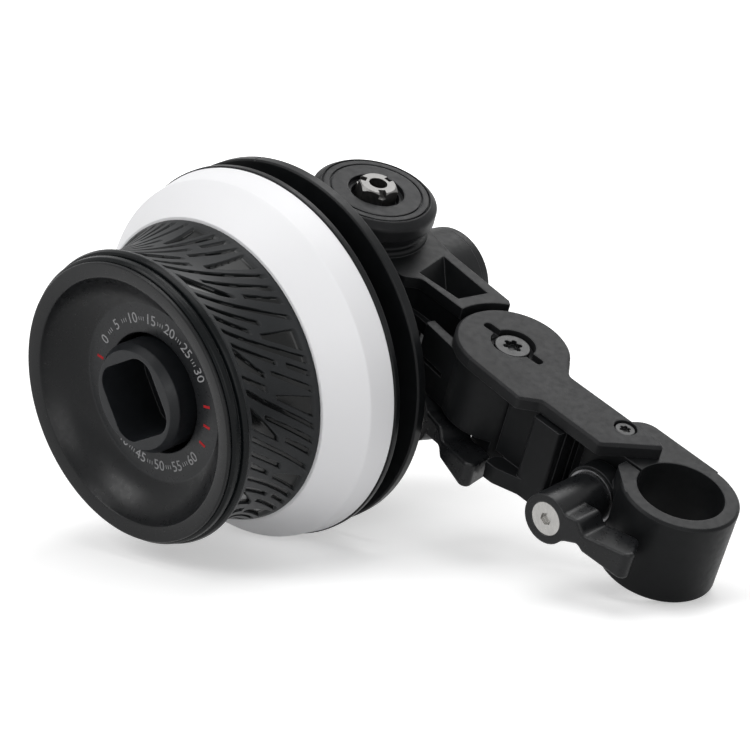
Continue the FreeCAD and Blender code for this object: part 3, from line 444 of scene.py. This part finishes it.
@dataclass(frozen=True)
class Rubber:
    """Moulded grip rubber: matt on the lands, glossier on the floors of its recesses, with painted shade
    that darkens those floors.
    """

    name: str = "grip_rubber"
    land: Colour = (0.0085, 0.0095, 0.0105)
    # Painted shade: the recess floors take this colour, far darker than the land's.
    floor: Colour = (0.0015, 0.0020, 0.0020)
    land_roughness: float = 0.46
    floor_roughness: float = 0.17
    land_specular: float = 0.22
    floor_specular: float = 0.24

    def material(self) -> bpy.types.Material:
        """Build the finish's material from the tread's recess attribute."""
        board = NodeBoard(self.name)
        recess = board.attribute("recess")
        mottle = board.ramp(board.noise(500.0, 4.0, 0.6), 0.3, 0.7, 0.0, 1.0)
        land = board.mix(mottle, self.land, tuple(c * 1.3 for c in self.land))
        # Painted shade darkens the colour on the recess floors.
        board.link(board.mix_over(recess, land, self.floor), board.shader.inputs["Base Color"])
        board.link(board.ramp(recess, 0.2, 0.95, self.land_roughness, self.floor_roughness),
                   board.shader.inputs["Roughness"])
        board.link(board.ramp(recess, 0.2, 0.95, self.land_specular, self.floor_specular),
                   board.shader.inputs["Specular IOR Level"])
        board.link(board.bump(board.noise(9000.0, 2.0, 0.6), 0.000012, 0.3), board.shader.inputs["Normal"])
        return board.material


@dataclass(frozen=True)
class Plastic:
    """Smooth moulded plastic with a faint waviness and fine specks."""

    name: str
    colour: Colour
    roughness: float = 0.38
    specular: float = 0.4

    def material(self) -> bpy.types.Material:
        """Build the finish's material."""
        board = NodeBoard(self.name)
        cloud = board.ramp(board.noise(45.0, 3.0, 0.5), 0.3, 0.7, 0.0, 1.0)
        colour = board.mix(cloud, self.colour, tuple(min(1.0, c * 0.975) for c in self.colour))
        speck = board.ramp(board.noise(2600.0, 1.0, 0.4), 0.80, 0.86, 0.0, 0.25)
        board.link(board.mix_over(speck, colour, tuple(c * 0.8 for c in self.colour)),
                   board.shader.inputs["Base Color"])
        patches = board.noise(1500.0, 2.0)
        board.link(board.ramp(patches, 0.3, 0.7, self.roughness - 0.04, self.roughness + 0.05),
                   board.shader.inputs["Roughness"])
        board.shader.inputs["Specular IOR Level"].default_value = self.specular
        board.link(board.bump(board.noise(5000.0, 2.0), 0.000006, 0.2), board.shader.inputs["Normal"])
        return board.material


@dataclass(frozen=True)
class Steel:
    """Bare or blackened steel with turning marks and small scratches."""

    name: str
    colour: Colour
    roughness: float
    metallic: float = 1.0
    edge_radius: float = 0.0001

    def material(self) -> bpy.types.Material:
        """Build the finish's material."""
        board = NodeBoard(self.name)
        marks = board.noise(3200.0, 3.0, 0.65, (1.0, 1.0, 0.18))
        colour = board.mix(board.ramp(marks, 0.3, 0.7, 0.0, 1.0), self.colour,
                           tuple(min(1.0, c * 1.25) for c in self.colour))
        board.link(colour, board.shader.inputs["Base Color"])
        board.shader.inputs["Metallic"].default_value = self.metallic
        board.link(board.ramp(marks, 0.3, 0.7, self.roughness - 0.06, self.roughness + 0.10),
                   board.shader.inputs["Roughness"])
        board.link(board.bump(marks, 0.000008, 0.3, board.soft_edges(self.edge_radius)),
                   board.shader.inputs["Normal"])
        return board.material


@dataclass(frozen=True)
class Ink:
    """Printed ink: thin, matt and slightly uneven."""

    name: str
    colour: Colour
    roughness: float = 0.6
    specular: float = 0.2

    def material(self) -> bpy.types.Material:
        """Build the finish's material."""
        board = NodeBoard(self.name)
        wear = board.ramp(board.noise(4000.0, 3.0, 0.6), 0.35, 0.7, 0.0, 1.0)
        board.link(board.mix(wear, self.colour, tuple(c * 0.72 for c in self.colour)),
                   board.shader.inputs["Base Color"])
        board.shader.inputs["Roughness"].default_value = self.roughness
        board.shader.inputs["Specular IOR Level"].default_value = self.specular
        return board.material


def dress(obj: bpy.types.Object, material: bpy.types.Material) -> None:
    """Put a material on every slot of an object, with one slot where it has none."""
    if not obj.material_slots:
        obj.data.materials.append(material)
    for slot in obj.material_slots:
        slot.material = material


# ---------------------------------------------------------------- handwheel

@dataclass
class Wheel:
    """The handwheel: dished face, rim, hub, grip with its tread, marking disc and backing.

    Sizes are in millimetres along the unit's own axes.
    """

    AXIS_X = -80.5
    AXIS_Z = -18.0
    HUB_Y = -46.0

    place: WorkingFrame
    lip_y: float = -48.1
    lip_r: float = 25.3
    lip_slope: float = 0.42
    bowl_r: float = 22.25
    bowl_middle: tuple[float, float] = (19.9, -44.1)
    ring_y: float = -41.6
    ring_r: float = 16.0
    bore_r: float = 10.8
    dish_rear_y: float = -38.6
    dish_wall: float = 1.6
    rim_r: float = 26.3
    rim_rear_y: float = -44.3
    grip_bore_r: float = 23.4
    grip_rear_y: float = -28.3
    grip_rear_r: float = 27.5
    waist_r: float = 25.1
    disc_r: float = 33.7
    disc_rear_y: float = -16.9
    disc_core: float = 2.2
    recess_depth: float = 0.6
    edge_drop: float = 0.35
    edge_fade: float = 0.18
    segments: int = 300
    disc_segments: int = 320
    bowl_steps: int = 22
    tread_around: int = 1320
    tread_along: int = 68
    body: str = "wheel"

    def face(self) -> bpy.types.Object:
        """Build the dished face: a lip, a concave bowl and a flat ring round the hub."""
        mouth = (self.bowl_r, self.lip_y + self.lip_slope)
        bowl = arc_through(mouth, self.bowl_middle, (self.ring_r, self.ring_y), self.bowl_steps)
        lip = rounded_profile([(24.0, self.lip_y + 0.9), (self.lip_r - 0.3, self.lip_y + 0.8, 0.1),
                               (self.lip_r - 0.3, self.lip_y, 0.28), (*mouth, 0.14),
                               tuple(bowl[1])], closed=False)
        ring = rounded_profile([tuple(bowl[-2]), (self.ring_r, self.ring_y, 0.12),
                                (self.bore_r, self.ring_y, 0.2), (self.bore_r, self.dish_rear_y)],
                               closed=False)
        inner = self.grip_bore_r - self.dish_wall
        back = np.array([(inner, self.dish_rear_y), (inner, self.rim_rear_y),
                         (self.grip_bore_r, self.rim_rear_y), (self.grip_bore_r, self.lip_y + 0.9)])
        profile = np.concatenate([lip, bowl[2:-2], ring, back])
        obj = turned_piece(self.place, "dished_face", profile, self.segments)
        flat = np.repeat((profile[:, 0] < self.ring_r + 0.05).astype(np.float32), self.segments)
        obj.data.attributes.new("flat_ring", "FLOAT", "POINT").data.foreach_set("value", flat)
        return obj

    def rim(self) -> bpy.types.Object:
        """Build the turned rim ring: a band, a ridge and a fine groove."""
        inner = self.grip_bore_r + 0.02
        profile = rounded_profile([
            (inner, self.lip_y + 0.82), (self.lip_r - 0.12, self.lip_y + 0.82, 0.1),
            (self.lip_r + 0.3, self.lip_y + 1.15, 0.2), (self.lip_r + 0.4, self.lip_y + 2.1, 0.12),
            (self.lip_r - 0.05, self.lip_y + 2.3, 0.05), (self.lip_r - 0.05, self.lip_y + 2.62, 0.05),
            (self.rim_r - 0.25, self.lip_y + 2.75, 0.12), (self.rim_r, self.rim_rear_y - 0.35, 0.15),
            (self.rim_r, self.rim_rear_y), (inner, self.rim_rear_y)], 4)
        return turned_piece(self.place, "rim_band", profile, self.segments)

    def marking_disc(self) -> bpy.types.Object:
        """Build the white disc: a broad front cone, a narrow outer band and a hollow back."""
        front = self.grip_rear_y + 0.02
        profile = rounded_profile([
            (self.grip_bore_r, front), (self.grip_rear_r + 0.25, front, 0.25), (32.8, -21.8, 1.1),
            (self.disc_r, self.disc_rear_y - 0.15, 0.12), (self.disc_r - 0.1, self.disc_rear_y),
            (self.disc_r - 2.0, self.disc_rear_y), (30.8, -21.2),
            (self.grip_rear_r - 1.0, front + self.disc_core),
            (self.grip_bore_r + self.disc_core, front + self.disc_core),
            (self.grip_bore_r + self.disc_core, self.disc_rear_y - 1.2),
            (self.grip_bore_r, self.disc_rear_y - 1.2)], 8)
        return turned_piece(self.place, "white_marking_disc", profile, self.disc_segments)

    def tread(self) -> bpy.types.Object:
        """Build the grip: a waisted sleeve with slanted recesses pressed into it.

        The outer radius is a circle arc through the waist, less the recess depth.  Each row
        of the grid is turned a little further than the row before it, so that the columns
        lean with the slashes and the slashes' sides follow the grid.  The two ends drop away
        by an exponential of the distance from the end, which rounds them.
        """
        around_count, along_count, pattern = self.tread_around, self.tread_along, TreadPattern()
        front, rear = self.rim_rear_y + 0.02, self.grip_rear_y
        outer = arc_through((self.rim_r - 0.2, front), (self.waist_r, -37.0), (self.grip_rear_r, rear), 400)
        height = np.linspace(front, rear, along_count)
        radius = np.interp(height, outer[:, 1], outer[:, 0])
        start = np.linspace(0, 2 * math.pi, around_count, endpoint=False)
        lean = pattern.lean(height - front)
        recess = pattern.recess(start, (height - front) / (rear - front), rear - front)
        depth = radius[:, None] - recess * self.recess_depth
        rounding = self.edge_drop * np.exp(-np.minimum(height - front, rear - height) / self.edge_fade)
        depth = depth - rounding[:, None]
        skin = around(depth, height[:, None], start[None, :] + lean[:, None])
        bore = around(np.full((2, 1), self.grip_bore_r), np.array([[rear], [front]]),
                      start[None, :] + lean[[-1, 0], None])
        points = np.concatenate([skin.reshape(-1, 3), bore.reshape(-1, 3)])
        faces = grid_faces(along_count + 2, around_count, True, True)
        obj = make_object("grip_tread", self.place.place(points), faces.tolist(), 50.0)
        values = np.concatenate([recess.reshape(-1), np.zeros(2 * around_count)]).astype(np.float32)
        obj.data.attributes.new("recess", "FLOAT", "POINT").data.foreach_set("value", values)
        return obj

    def build(self, dish: Anodised, rim: Anodised, white: Plastic, rubber: Rubber) -> None:
        """Build, dress and ride the wheel's own surfaces.

        Args:
            dish: the dished face's finish.
            rim: the rim's finish.
            white: the marking disc's finish.
            rubber: the grip's finish.
        """
        made = [(self.face(), dish, "front_dish", "black_anodised_dish"),
                (self.rim(), rim, "rim_ring", "black_anodised_rim"),
                (self.tread(), rubber, "grip_sleeve", "black_rubber"),
                (self.marking_disc(), white, "marking_disc", "white_plastic")]
        for piece, finish, node, slot in made:
            dress(piece, finish.material())
            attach(piece, self.body)
            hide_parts(node)
            log.info("built %s for %s", piece.name, node)


@dataclass
class DialPrint:
    """The print on the dish's flat ring: small numbers with ticks between them, and red ticks.

    Each arc of numbers gives its first number's angle in degrees, how many numbers it
    holds, its first number, and which way round it runs.
    """

    place: WorkingFrame
    radius: float = 13.4
    surface_y: float = -41.6
    film: float = 0.03
    cap_height: float = 1.9
    pitch_deg: float = 20.0
    upper_arc: tuple[float, int, int, int] = (167.0, 7, 0, -1)
    lower_arc: tuple[float, int, int, int] = (-128.0, 6, 35, 1)
    tick_shares: tuple[float, ...] = (0.38, 0.5, 0.62)
    tick_size: tuple[float, float] = (0.7, 0.14)
    red_ticks_deg: tuple[float, ...] = (23.0, 7.0, -9.0, 184.0)
    red_tick_size: tuple[float, float] = (1.5, 0.5)

    def numeral(self, text: str, turn: float) -> tuple[np.ndarray, list]:
        """Make a number as a thin raised mesh whose top points away from the hub.

        Args:
            text: the number.
            turn: its place round the wheel, in radians.

        Returns:
            Its points in the unit's axes, in millimetres, and its faces.
        """
        curve = bpy.data.curves.new("numeral", "FONT")
        curve.body, curve.size = text, self.cap_height * 1.4
        curve.align_x, curve.align_y = "CENTER", "CENTER"
        curve.extrude, curve.resolution_u = self.film / 2, 3
        holder = bpy.data.objects.new("numeral", curve)
        mesh = bpy.data.meshes.new_from_object(holder)
        flat = np.array([vertex.co[:] for vertex in mesh.vertices])
        faces = [list(polygon.vertices) for polygon in mesh.polygons]
        bpy.data.objects.remove(holder)
        bpy.data.curves.remove(curve)
        bpy.data.meshes.remove(mesh)
        inverted = -1.0 if math.sin(turn) < -0.1 else 1.0
        aside, out = flat[:, 0] * inverted, self.radius + flat[:, 1] * inverted
        points = np.column_stack([Wheel.AXIS_X + out * math.cos(turn) + aside * math.sin(turn),
                                  self.surface_y - flat[:, 2] - self.film / 2,
                                  Wheel.AXIS_Z + out * math.sin(turn) - aside * math.cos(turn)])
        return points, faces

    def tick(self, turn: float, length: float, width: float) -> tuple[np.ndarray, list]:
        """Make a radial tick as a thin box, centred on the print's radius."""
        corners = np.array([(u, v, w) for u in (-0.5, 0.5) for v in (-0.5, 0.5) for w in (0.0, 1.0)])
        out, aside = self.radius + corners[:, 0] * length, corners[:, 1] * width
        points = np.column_stack([Wheel.AXIS_X + out * math.cos(turn) + aside * math.sin(turn),
                                  self.surface_y - corners[:, 2] * self.film,
                                  Wheel.AXIS_Z + out * math.sin(turn) - aside * math.cos(turn)])
        return points, [[0, 1, 3, 2], [4, 6, 7, 5], [0, 4, 5, 1], [2, 3, 7, 6], [0, 2, 6, 4], [1, 5, 7, 3]]

    def build(self, grey: Ink, red: Ink) -> None:
        """Build the grey numbers and ticks and the red ticks, and ride them on the wheel."""
        pale = []
        for first_deg, count, start, way in (self.upper_arc, self.lower_arc):
            for index in range(count):
                centre = first_deg + way * self.pitch_deg * index
                pale.append(self.numeral(str(start + 5 * index), math.radians(centre)))
                if index < count - 1:
                    pale += [self.tick(math.radians(centre + way * self.pitch_deg * share), *self.tick_size)
                             for share in self.tick_shares]
        marks = [self.tick(math.radians(degrees), *self.red_tick_size) for degrees in self.red_ticks_deg]
        for name, parts, ink in (("dial_numbers", pale, grey), ("dial_red_ticks", marks, red)):
            starts = np.cumsum([0] + [len(points) for points, _ in parts])
            faces = [[vertex + int(start) for vertex in face]
                     for start, (_, piece) in zip(starts, parts) for face in piece]
            obj = make_object(name, self.place.place(np.concatenate([points for points, _ in parts])), faces)
            dress(obj, ink.material())
            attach(obj, "wheel")
            log.info("built %s", name)


@dataclass(frozen=True)
class TreadPattern:
    """Slashes round the grip that lean one way, some thin and some opening into wedges."""

    repeats: int = 6
    slant_deg: float = 36.0
    edge: float = 0.13
    reference_r: float = 25.8

    def slashes(self) -> np.ndarray:
        """List one repeat's slashes: place round (0-1), start and end along (0-1), width at each, depth."""
        return np.array([
            (0.02, 0.07, 0.93, 0.75, 1.15, 0.9),
            (0.11, 0.08, 0.44, 1.05, 0.75, 0.9),
            (0.10, 0.54, 0.92, 0.80, 3.20, 1.0),
            (0.20, 0.07, 0.60, 0.80, 0.95, 0.9),
            (0.30, 0.07, 0.93, 0.95, 0.80, 0.9),
            (0.39, 0.08, 0.50, 3.40, 0.70, 1.0),
            (0.41, 0.60, 0.93, 0.85, 1.10, 0.9),
            (0.50, 0.30, 0.93, 0.75, 1.05, 0.9),
            (0.60, 0.07, 0.93, 1.10, 0.80, 0.9),
            (0.70, 0.07, 0.40, 0.85, 1.15, 0.9),
            (0.68, 0.50, 0.92, 0.80, 3.00, 1.0),
            (0.80, 0.08, 0.42, 2.80, 0.80, 1.0),
            (0.84, 0.50, 0.93, 0.85, 1.05, 0.9),
            (0.93, 0.10, 0.60, 0.75, 0.85, 0.9),
            (0.94, 0.70, 0.93, 0.90, 0.90, 0.9)])

    def lean(self, axial: np.ndarray) -> np.ndarray:
        """Return how far round, in radians, a slash has moved at each place along the grip."""
        return -axial * math.tan(math.radians(self.slant_deg)) / self.reference_r

    def recess(self, start: np.ndarray, along: np.ndarray, width: float) -> np.ndarray:
        """Work out how deep the tread is pressed at every grid point, from 0 to 1.

        The grid's columns lean with the slashes, so a slash is a strip of columns between
        two rows: its one side is straight, and its other side moves off linearly from the
        first width to the second.  Each side and end is a smooth step of one edge width.

        Args:
            start: the angle at which each column leaves the grip's front.
            along: places across the grip, 0 at the front and 1 at the rear.
            width: the grip's width in millimetres.

        Returns:
            One value for each (along, angle) pair.
        """
        pitch = 2 * math.pi * self.reference_r / self.repeats
        arc = (start * self.reference_r)[None, :]
        axial = along[:, None]
        squeeze = math.cos(math.radians(self.slant_deg))
        total = np.zeros((len(along), len(start)))
        for place, first, last, width_first, width_last, depth in self.slashes():
            offset = ((arc - place * pitch + pitch / 2) % pitch - pitch / 2) * squeeze
            share = np.clip((axial - first) / (last - first), 0, 1)
            breadth = width_first + (width_last - width_first) * share
            side = np.clip(np.minimum(offset + 0.3, breadth - 0.3 - offset) / self.edge, 0, 1)
            end = np.clip(np.minimum(axial - first, last - axial) * width / (2 * self.edge), 0, 1)
            total = np.maximum(total, depth * side * side * (3 - 2 * side) * end)
        return total


# ---------------------------------------------------------------- carried pieces

@dataclass
class CarriedPieces:
    """The solids whose shapes stay as packed, each with its finish."""

    finishes: dict[Finish, tuple[str, ...]]

    def build(self, materials: dict[Finish, bpy.types.Material]) -> None:
        """Dress each node with its finish's material.

        Args:
            materials: the finishes' materials.
        """
        for finish, nodes in self.finishes.items():
            for node in nodes:
                dress(frame["nodes"][node], materials[finish])
                log.info("dressed %s with %s", node, finish.value)


# ---------------------------------------------------------------- studio

def seen_directly(tree: bpy.types.NodeTree) -> bpy.types.NodeSocket:
    """Return 1 for rays from the camera, off a gloss or through a clear piece, else 0."""
    path = tree.nodes.new("ShaderNodeLightPath")
    value = path.outputs["Is Camera Ray"]
    for kind in ("Is Glossy Ray", "Is Transmission Ray"):
        either = tree.nodes.new("ShaderNodeMath")
        either.operation = "MAXIMUM"
        tree.links.new(value, either.inputs[0])
        tree.links.new(path.outputs[kind], either.inputs[1])
        value = either.outputs["Value"]
    return value


@dataclass
class Studio:
    """A pale floor, soft lamps and the camera."""

    place: WorkingFrame
    focal_px: float = 3000.0
    image_px: float = 750.0
    sensor_mm: float = 36.0
    eye: tuple[float, float, float] = (192.0, -362.7, 281.0)
    right: tuple[float, float, float] = (0.701, 0.679, 0.218)
    down: tuple[float, float, float] = (0.527, -0.288, -0.800)
    floor_half: float = 1.1
    floor_glow: float = 0.43
    far_glow: float = 0.9
    surround: float = 0.18

    def floor(self) -> None:
        """Lay a flat pale sheet under the unit."""
        across = np.linspace(-self.floor_half, self.floor_half, 9)
        grid = np.stack(np.broadcast_arrays(across[None, :], across[:, None], 0.0), axis=-1)
        faces = grid_faces(len(across), len(across), False, False)
        floor = make_object("floor", grid.reshape(-1, 3), faces.tolist())
        board = NodeBoard("floor_paper")
        board.shader.inputs["Roughness"].default_value = 0.9
        board.shader.inputs["Specular IOR Level"].default_value = 0.05
        board.shader.inputs["Base Color"].default_value = (0.82, 0.82, 0.82, 1.0)
        board.shader.inputs["Emission Color"].default_value = (1.0, 1.0, 1.0, 1.0)
        reach = board.tree.nodes.new("ShaderNodeVectorMath")
        reach.operation = "LENGTH"
        board.link(board.coordinates, reach.inputs[0])
        glow = board.ramp(reach.outputs["Value"], 0.12, 0.45, self.floor_glow, self.far_glow)
        shown = board.tree.nodes.new("ShaderNodeMath")
        shown.operation = "MULTIPLY"
        board.link(glow, shown.inputs[0])
        board.link(seen_directly(board.tree), shown.inputs[1])
        board.link(shown.outputs["Value"], board.shader.inputs["Emission Strength"])
        dress(floor, board.material)

    def world(self) -> None:
        """Make a dim even surround that the camera sees as white."""
        world = bpy.data.worlds.new("studio_air")
        bpy.context.scene.world = world
        world.use_nodes = True
        tree = world.node_tree
        background = tree.nodes["Background"]
        background.inputs["Color"].default_value = (1.0, 1.0, 1.0, 1.0)
        ranged = tree.nodes.new("ShaderNodeMapRange")
        ranged.inputs["To Min"].default_value = self.surround
        ranged.inputs["To Max"].default_value = 1.0
        tree.links.new(seen_directly(tree), ranged.inputs["Value"])
        tree.links.new(ranged.outputs["Result"], background.inputs["Strength"])

    def lamp(self, name: str, towards: tuple[float, float, float], distance: float, size: float,
             power: float) -> None:
        """Hang a square soft lamp that faces the unit.

        Args:
            name: the lamp's name.
            towards: the direction from the unit to the lamp, in the row's frame.
            distance: how far off it hangs, in metres.
            size: its side, in metres.
            power: its power in watts.
        """
        data = bpy.data.lights.new(name, "AREA")
        data.shape, data.size, data.energy = "SQUARE", size, power
        lamp = bpy.data.objects.new(name, data)
        bpy.context.scene.collection.objects.link(lamp)
        direction = Vector(towards).normalized()
        lamp.location = direction * distance + Vector((0, 0, 0.03))
        lamp.rotation_euler = direction.to_track_quat("Z", "Y").to_euler()

    def camera(self) -> None:
        """Place the camera: its right, up and back axes and its eye, all in the row's frame."""
        data = bpy.data.cameras.new("camera")
        data.sensor_width = self.sensor_mm
        data.lens = self.focal_px / self.image_px * self.sensor_mm
        data.clip_start, data.clip_end = 0.01, 20.0
        camera = bpy.data.objects.new("camera", data)
        bpy.context.scene.collection.objects.link(camera)
        right = self.place.direction(self.right).normalized()
        up = -self.place.direction(self.down).normalized()
        back = right.cross(up).normalized()
        up = back.cross(right).normalized()
        matrix = Matrix((right, up, back)).transposed().to_4x4()
        matrix.translation = Vector(self.place.place(np.array(self.eye)))
        camera.matrix_world = matrix
        bpy.context.scene.camera = camera

    def build(self) -> None:
        """Build the floor, the surround, the lamps and the camera."""
        self.floor()
        self.world()
        self.lamp("back_key", (-0.11, 0.63, 0.77), 0.9, 0.46, 2.5)
        self.lamp("front_softbox", (-0.25, -0.70, 0.66), 1.0, 0.5, 3.5)
        self.lamp("right_fill", (0.85, -0.50, 0.22), 1.0, 0.7, 3.0)
        self.lamp("overhead_softbox", (0.05, -0.05, 1.0), 1.0, 0.7, 4.2)
        self.camera()
        bpy.context.scene.view_settings.view_transform = "Standard"
        log.info("built the studio")


# ---------------------------------------------------------------- assembly

def packed_finishes() -> dict[Finish, Anodised | Plastic | Steel]:
    """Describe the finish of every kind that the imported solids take."""
    made = [
        # Each anodised finish paints a highlight on its edges in its edge colour.
        Anodised(Finish.PLATE.value, (0.0105, 0.0108, 0.0115), 0.44, 0.11),
        Anodised(Finish.CASE.value, (0.0054, 0.0058, 0.0063), 0.42, 0.12),
        Anodised(Finish.CAP.value, (0.0095, 0.0098, 0.0105), 0.4, 0.11),
        Anodised(Finish.HUB.value, (0.009, 0.010, 0.0115), 0.36, 0.22),
        Anodised(Finish.INDEX.value, (0.0050, 0.0055, 0.0060), 0.34, 0.14, edge_radius=0.0004,
                 edge_highlight_colour=(0.10, 0.102, 0.106)),
        Anodised(Finish.LEVER.value, (0.0060, 0.0064, 0.0070), 0.30, 0.20, edge_radius=0.00045,
                 edge_highlight_colour=(0.09, 0.092, 0.096)),
        Anodised(Finish.BLACKENED.value, (0.0070, 0.0072, 0.0078), 0.30, 0.22, edge_radius=0.0002,
                 edge_highlight_colour=(0.16, 0.16, 0.165)),
        Steel(Finish.BRIGHT.value, (0.34, 0.335, 0.325), 0.2),
        Steel(Finish.DOG.value, (0.125, 0.123, 0.12), 0.36),
        # Painted shade: the output shaft and bearings are coloured far darker than bare steel, so the recess
        # round the dog reads dark.
        Steel(Finish.PAINTED_SHADE.value, (0.035, 0.035, 0.037), 0.42, 0.7),
        Steel(Finish.DARK_STEEL.value, (0.16, 0.16, 0.165), 0.3),
        Steel(Finish.BRONZE.value, (0.45, 0.30, 0.14), 0.3),
        Plastic(Finish.WASHER.value, (0.75, 0.75, 0.72)),
    ]
    return {Finish(finish.name): finish for finish in made}


def main() -> None:
    """Build every sub-assembly in order."""
    logging.basicConfig(level=logging.INFO, format="%(name)s: %(message)s")
    place = WorkingFrame.from_record()
    CarriedPieces({
        Finish.PLATE: ("cover_plate",),
        Finish.CASE: ("clamp_arm", "gear_case", "wheel_core"),
        Finish.CAP: ("top_cap", "base_cap", "rear_cap"),
        Finish.HUB: ("hub_socket",),
        Finish.INDEX: ("index_plate", "disc_backing"),
        Finish.LEVER: ("clamp_lever", "lock_lever"),
        Finish.BLACKENED: ("pivot_screw", "cover_screw", "index_plate_screws", "backing_screws",
                           "hub_screw"),
        Finish.DOG: ("drive_dog",),
        # Painted shade: dark steel on the parts inside the recess under the dog.
        Finish.PAINTED_SHADE: ("output_bearings", "output_shaft"),
        Finish.BRIGHT: ("clamp_lever_screw", "lock_lever_screw", "wheel_bearings", "wheel_gear",
                        "output_gear", "wheel_shaft"),
        Finish.DARK_STEEL: ("clamp_stud", "lock_stud", "pivot_post", "output_circlip", "clamp_washer"),
        Finish.BRONZE: ("pivot_bush",),
        Finish.WASHER: ("thrust_washer",),
    }).build({finish: look.material() for finish, look in packed_finishes().items()})
    Wheel(place).build(DishAnodised("anodised_dish", (0.0034, 0.0038, 0.0044), 0.30, 0.22),
                       # The rim's pale edge colour paints the highlight along its chamfers.
                       Anodised("anodised_rim", (0.0030, 0.0040, 0.0045), 0.22, 0.12,
                                edge_highlight_colour=(0.13, 0.132, 0.137)),
                       Plastic("white_disc", (0.87, 0.87, 0.885), 0.42), Rubber())
    DialPrint(place).build(Ink("grey_ink", (0.40, 0.40, 0.41)), Ink("red_ink", (0.50, 0.016, 0.022)))
    Studio(place).build()


if __name__ == "__main__":
    main()
